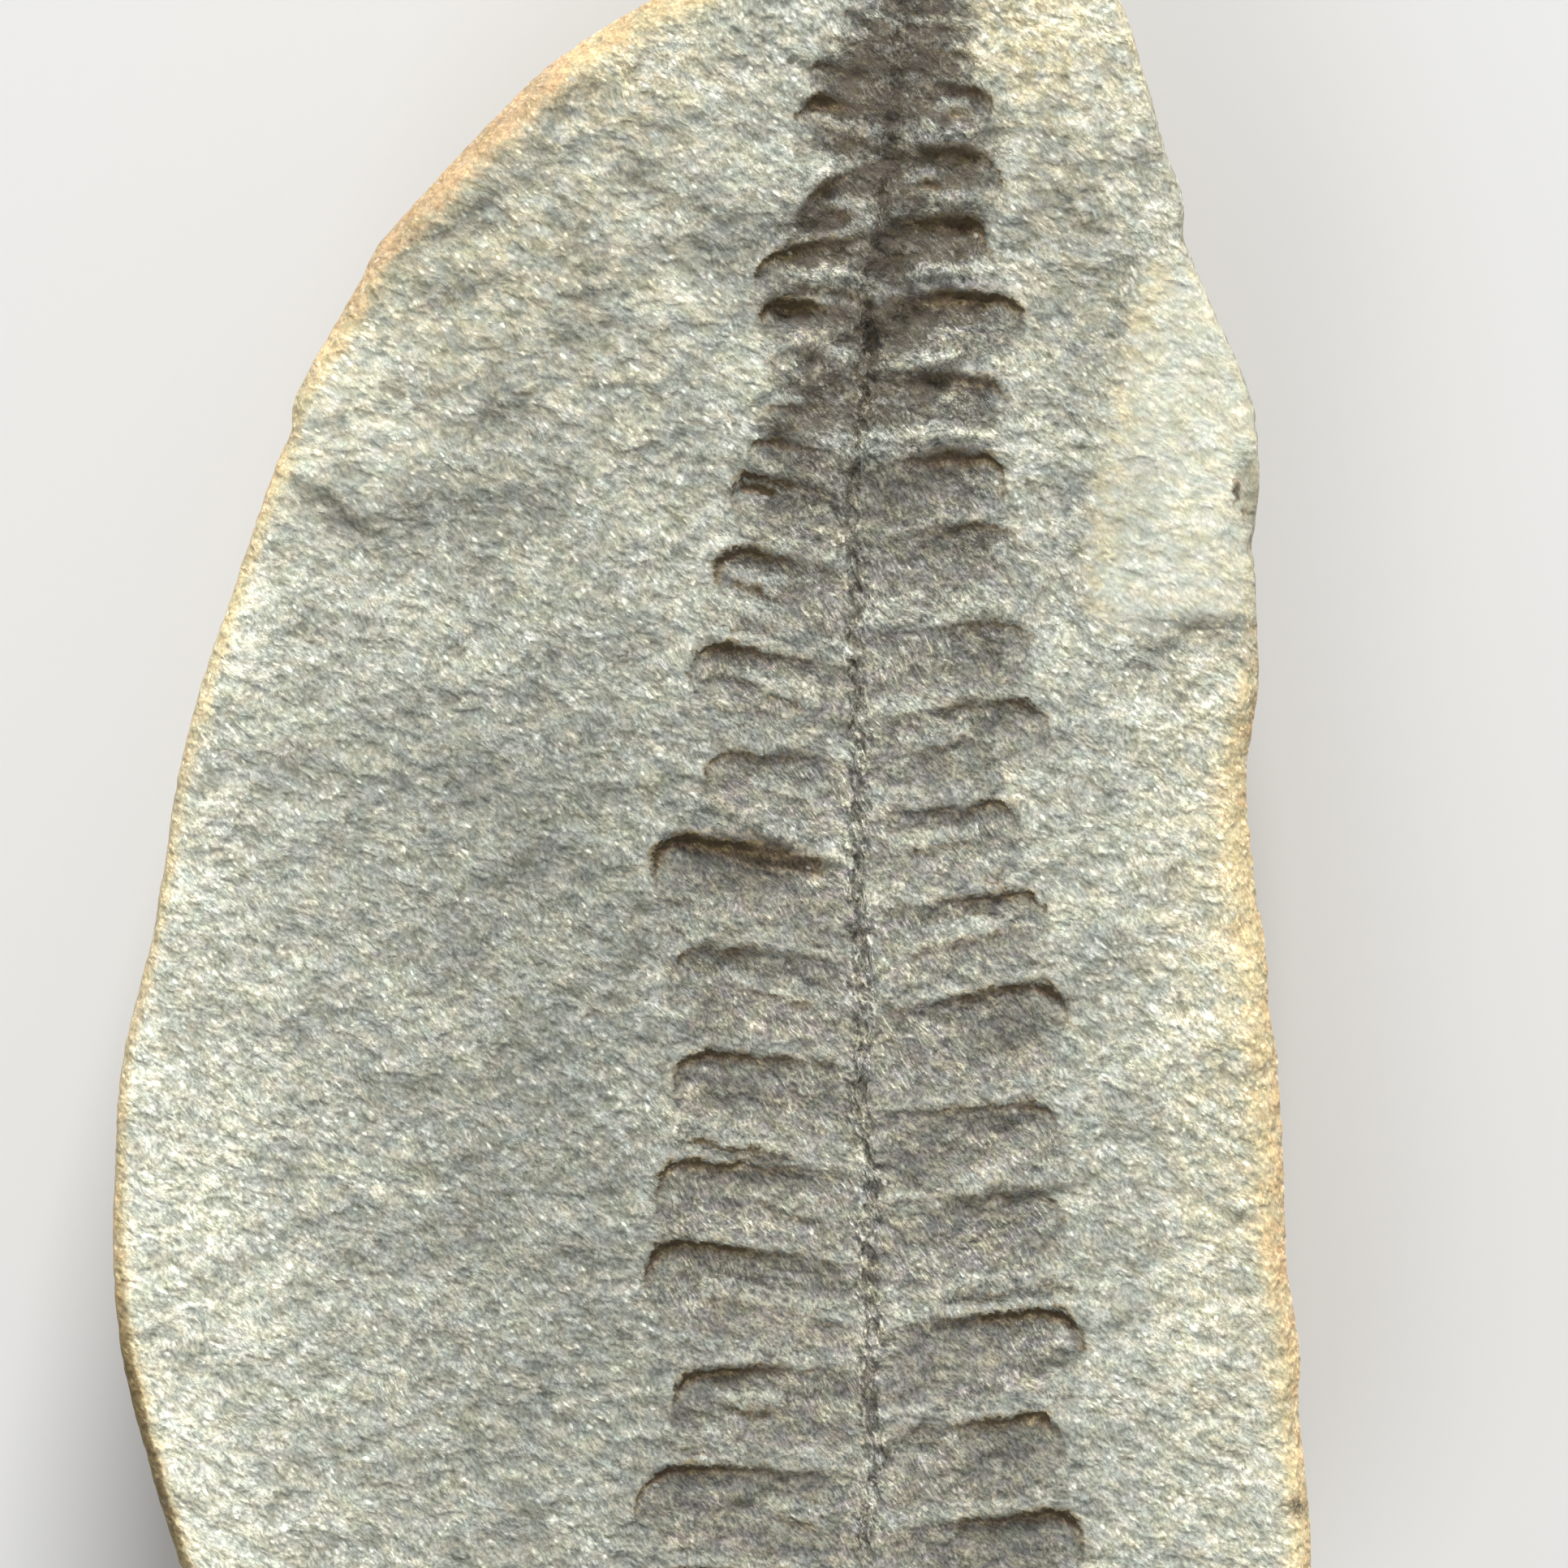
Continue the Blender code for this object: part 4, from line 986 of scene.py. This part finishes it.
def stone_colour(n, s):
    """The stone's colour with its stains, the print's colours with their painted shade and painted
    highlight, and the white flecks with their painted glints.
    """
    colour = n.scaled(stone_hue(n, s), stone_light(n, s))
    thick_film = n.mix(n.ramp(s.blotch, 0.40, 0.60), FILM_BROWN, FILM_OCHRE)
    colour = n.mix(s.thick_film, colour, thick_film)
    stain = n.share("stain")
    brown = n.mix(n.ramp(stain, 0.45, 0.9), STAIN_ROSE, STAIN_BROWN)
    brown = n.scaled(brown, n.ramp(s.speckle, 0.3, 0.7, 0.45, 1.5))
    browned = n.ramp(n.line(s.rough, 1.8, stain), 0.15, 0.95)
    colour = n.mix(n.times(browned, 0.9), colour, brown)
    colour = n.mix(n.times(s.tint, 0.7), colour, TINT_OCHRE)
    # Painted highlight along the ridge above each print.
    colour = n.mix(s.crest, colour, n.mix(n.share("film"), CREST_GREY, CREST_LILAC))
    # Painted shadow under each upper margin, in the print's browns.
    banded = n.mix(n.ramp(s.blotch, 0.45, 0.60), BAND_BROWN, BAND_OLIVE)
    banded = n.mix(n.ramp(s.grit, 0.50, 0.68, 0.0, 0.8), banded, BAND_GOLD)
    banded = n.scaled(banded, n.ramp(s.speckle, 0.3, 0.7, 0.55, 1.6))
    colour = n.mix(n.times(s.band, 0.85), colour, banded)
    # Painted shade of the steep upper wall, as a thin dark brown line.
    colour = n.mix(n.times(s.edge, 0.85), colour, EDGE_DARK)
    return n.mix(white_flecks(n, s), colour, FLECK_WHITE)


def white_flecks(n, s):
    """The share of the few big chips that show as white flecks: white grains with painted glints."""
    rare = n.line(n.share("rugged"), -0.03, n.line(s.crowd, 0.06, s.big_random[1]))
    ragged = n.line(s.speckle, 0.6, s.big_distance)
    fleck = n.times(n.ramp(rare, 0.99, 1.02), n.ramp(ragged, 0.66, 0.50))
    return n.times(fleck, s.even, n.line(n.share("cover"), -0.4, 0.7))


def stone_relief(n, s):
    """Height of the finest relief in millimetres, for the material's normals."""
    cover, rachis = n.share("cover"), n.share("rachis")
    relief = n.times(s.big, BIG_CHIP_HEIGHT)
    relief = n.line(s.small, SMALL_CHIP_HEIGHT, relief)
    relief = n.line(s.grit, GRIT_HEIGHT, relief)
    relief = n.line(s.flake, FLAKE_HEIGHT, relief)
    uneven = n.plus(n.ramp(s.clumps, 0.35, 0.65, 0.5, 1.6), n.times(rachis, 0.8))
    uneven = n.times(uneven, n.line(cover, -0.3, 1.0))
    relief = n.times(relief, n.times(n.line(n.share("film"), 1.9, uneven), s.even))
    relief = n.line(s.clumps, CLUMP_HEIGHT, relief)
    vein = n.math("MAXIMUM", n.times(rachis, RACHIS_VEIN_HEIGHT), n.times(cover, VEIN_HEIGHT))
    relief = n.line(s.veins, vein, relief)
    relief = n.line(s.grains, n.times(rachis, RACHIS_GRAIN_HEIGHT), relief)
    ledge = n.times(n.ramp(s.inside, -0.05, 0.12), n.share("upper"))
    return n.line(ledge, -EDGE_DROP, relief)


def stone_material():
    """The one material of the stone, from the shares that its mesh carries."""
    material = bpy.data.materials.new("split_ironstone")
    material.use_nodes = True
    material.node_tree.nodes.clear()
    n, s = Nodes(material.node_tree), SimpleNamespace()  # s holds the nodes' outputs by name
    add_patterns(n, s)
    add_print(n, s)
    add_rind(n, s)
    relief = {"Strength": 1.0, "Distance": MM, "Height": stone_relief(n, s)}
    shader = n.node("ShaderNodeBsdfPrincipled", {
        "Base Color": stone_colour(n, s),
        "Roughness": STONE_ROUGHNESS,
        "Specular IOR Level": STONE_SPECULAR,
        "Normal": n.node("ShaderNodeBump", relief).outputs[0],
    })
    n.node("ShaderNodeOutputMaterial", {"Surface": shader.outputs[0]})
    return material


def make_camera():
    """A camera that looks straight down on the split face."""
    camera = bpy.data.cameras.new("camera")
    camera.lens = LENS
    camera.sensor_width = SENSOR
    camera.clip_start = NEAREST_VIEW
    holder = link_object("camera", camera)
    height = THICKNESS + PHOTO_SIDE * LENS / SENSOR
    holder.location = Vector((*PHOTO_CENTRE, height)) * MM
    bpy.context.scene.camera = holder


def add_light(name, place, size, power):
    """A square soft light that points at the middle of the stone."""
    light = bpy.data.lights.new(name, "AREA")
    light.size = size
    light.energy = power
    holder = link_object(name, light)
    holder.location = place
    aim = Vector((0.0, 0.0, THICKNESS * MM)) - holder.location
    holder.rotation_euler = aim.to_track_quat("-Z", "Y").to_euler()


def make_studio():
    """The pale floor, the soft lights and the light that comes from all round."""
    mesh = bpy.data.meshes.new("floor")
    made = bmesh.new()
    bmesh.ops.create_grid(made, x_segments=1, y_segments=1, size=FLOOR_HALF_SIDE)
    made.to_mesh(mesh)
    made.free()
    paint = bpy.data.materials.new("pale_floor")
    paint.use_nodes = True
    shader = paint.node_tree.nodes["Principled BSDF"]
    shader.inputs["Base Color"].default_value = FLOOR_COLOUR
    shader.inputs["Roughness"].default_value = FLOOR_ROUGHNESS
    mesh.materials.append(paint)
    link_object("floor", mesh)
    for row in LIGHTS:
        add_light(*row)
    world = bpy.data.worlds.new("studio")
    world.use_nodes = True
    sky = world.node_tree.nodes["Background"]
    sky.inputs["Color"].default_value = SKY_COLOUR
    sky.inputs["Strength"].default_value = SKY_STRENGTH
    bpy.context.scene.world = world
    bpy.context.scene.view_settings.view_transform = "Standard"


make_camera()
make_studio()
stone = make_stone()
stone.data.materials.append(stone_material())
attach(stone, "root")
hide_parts(STONE_NODE)
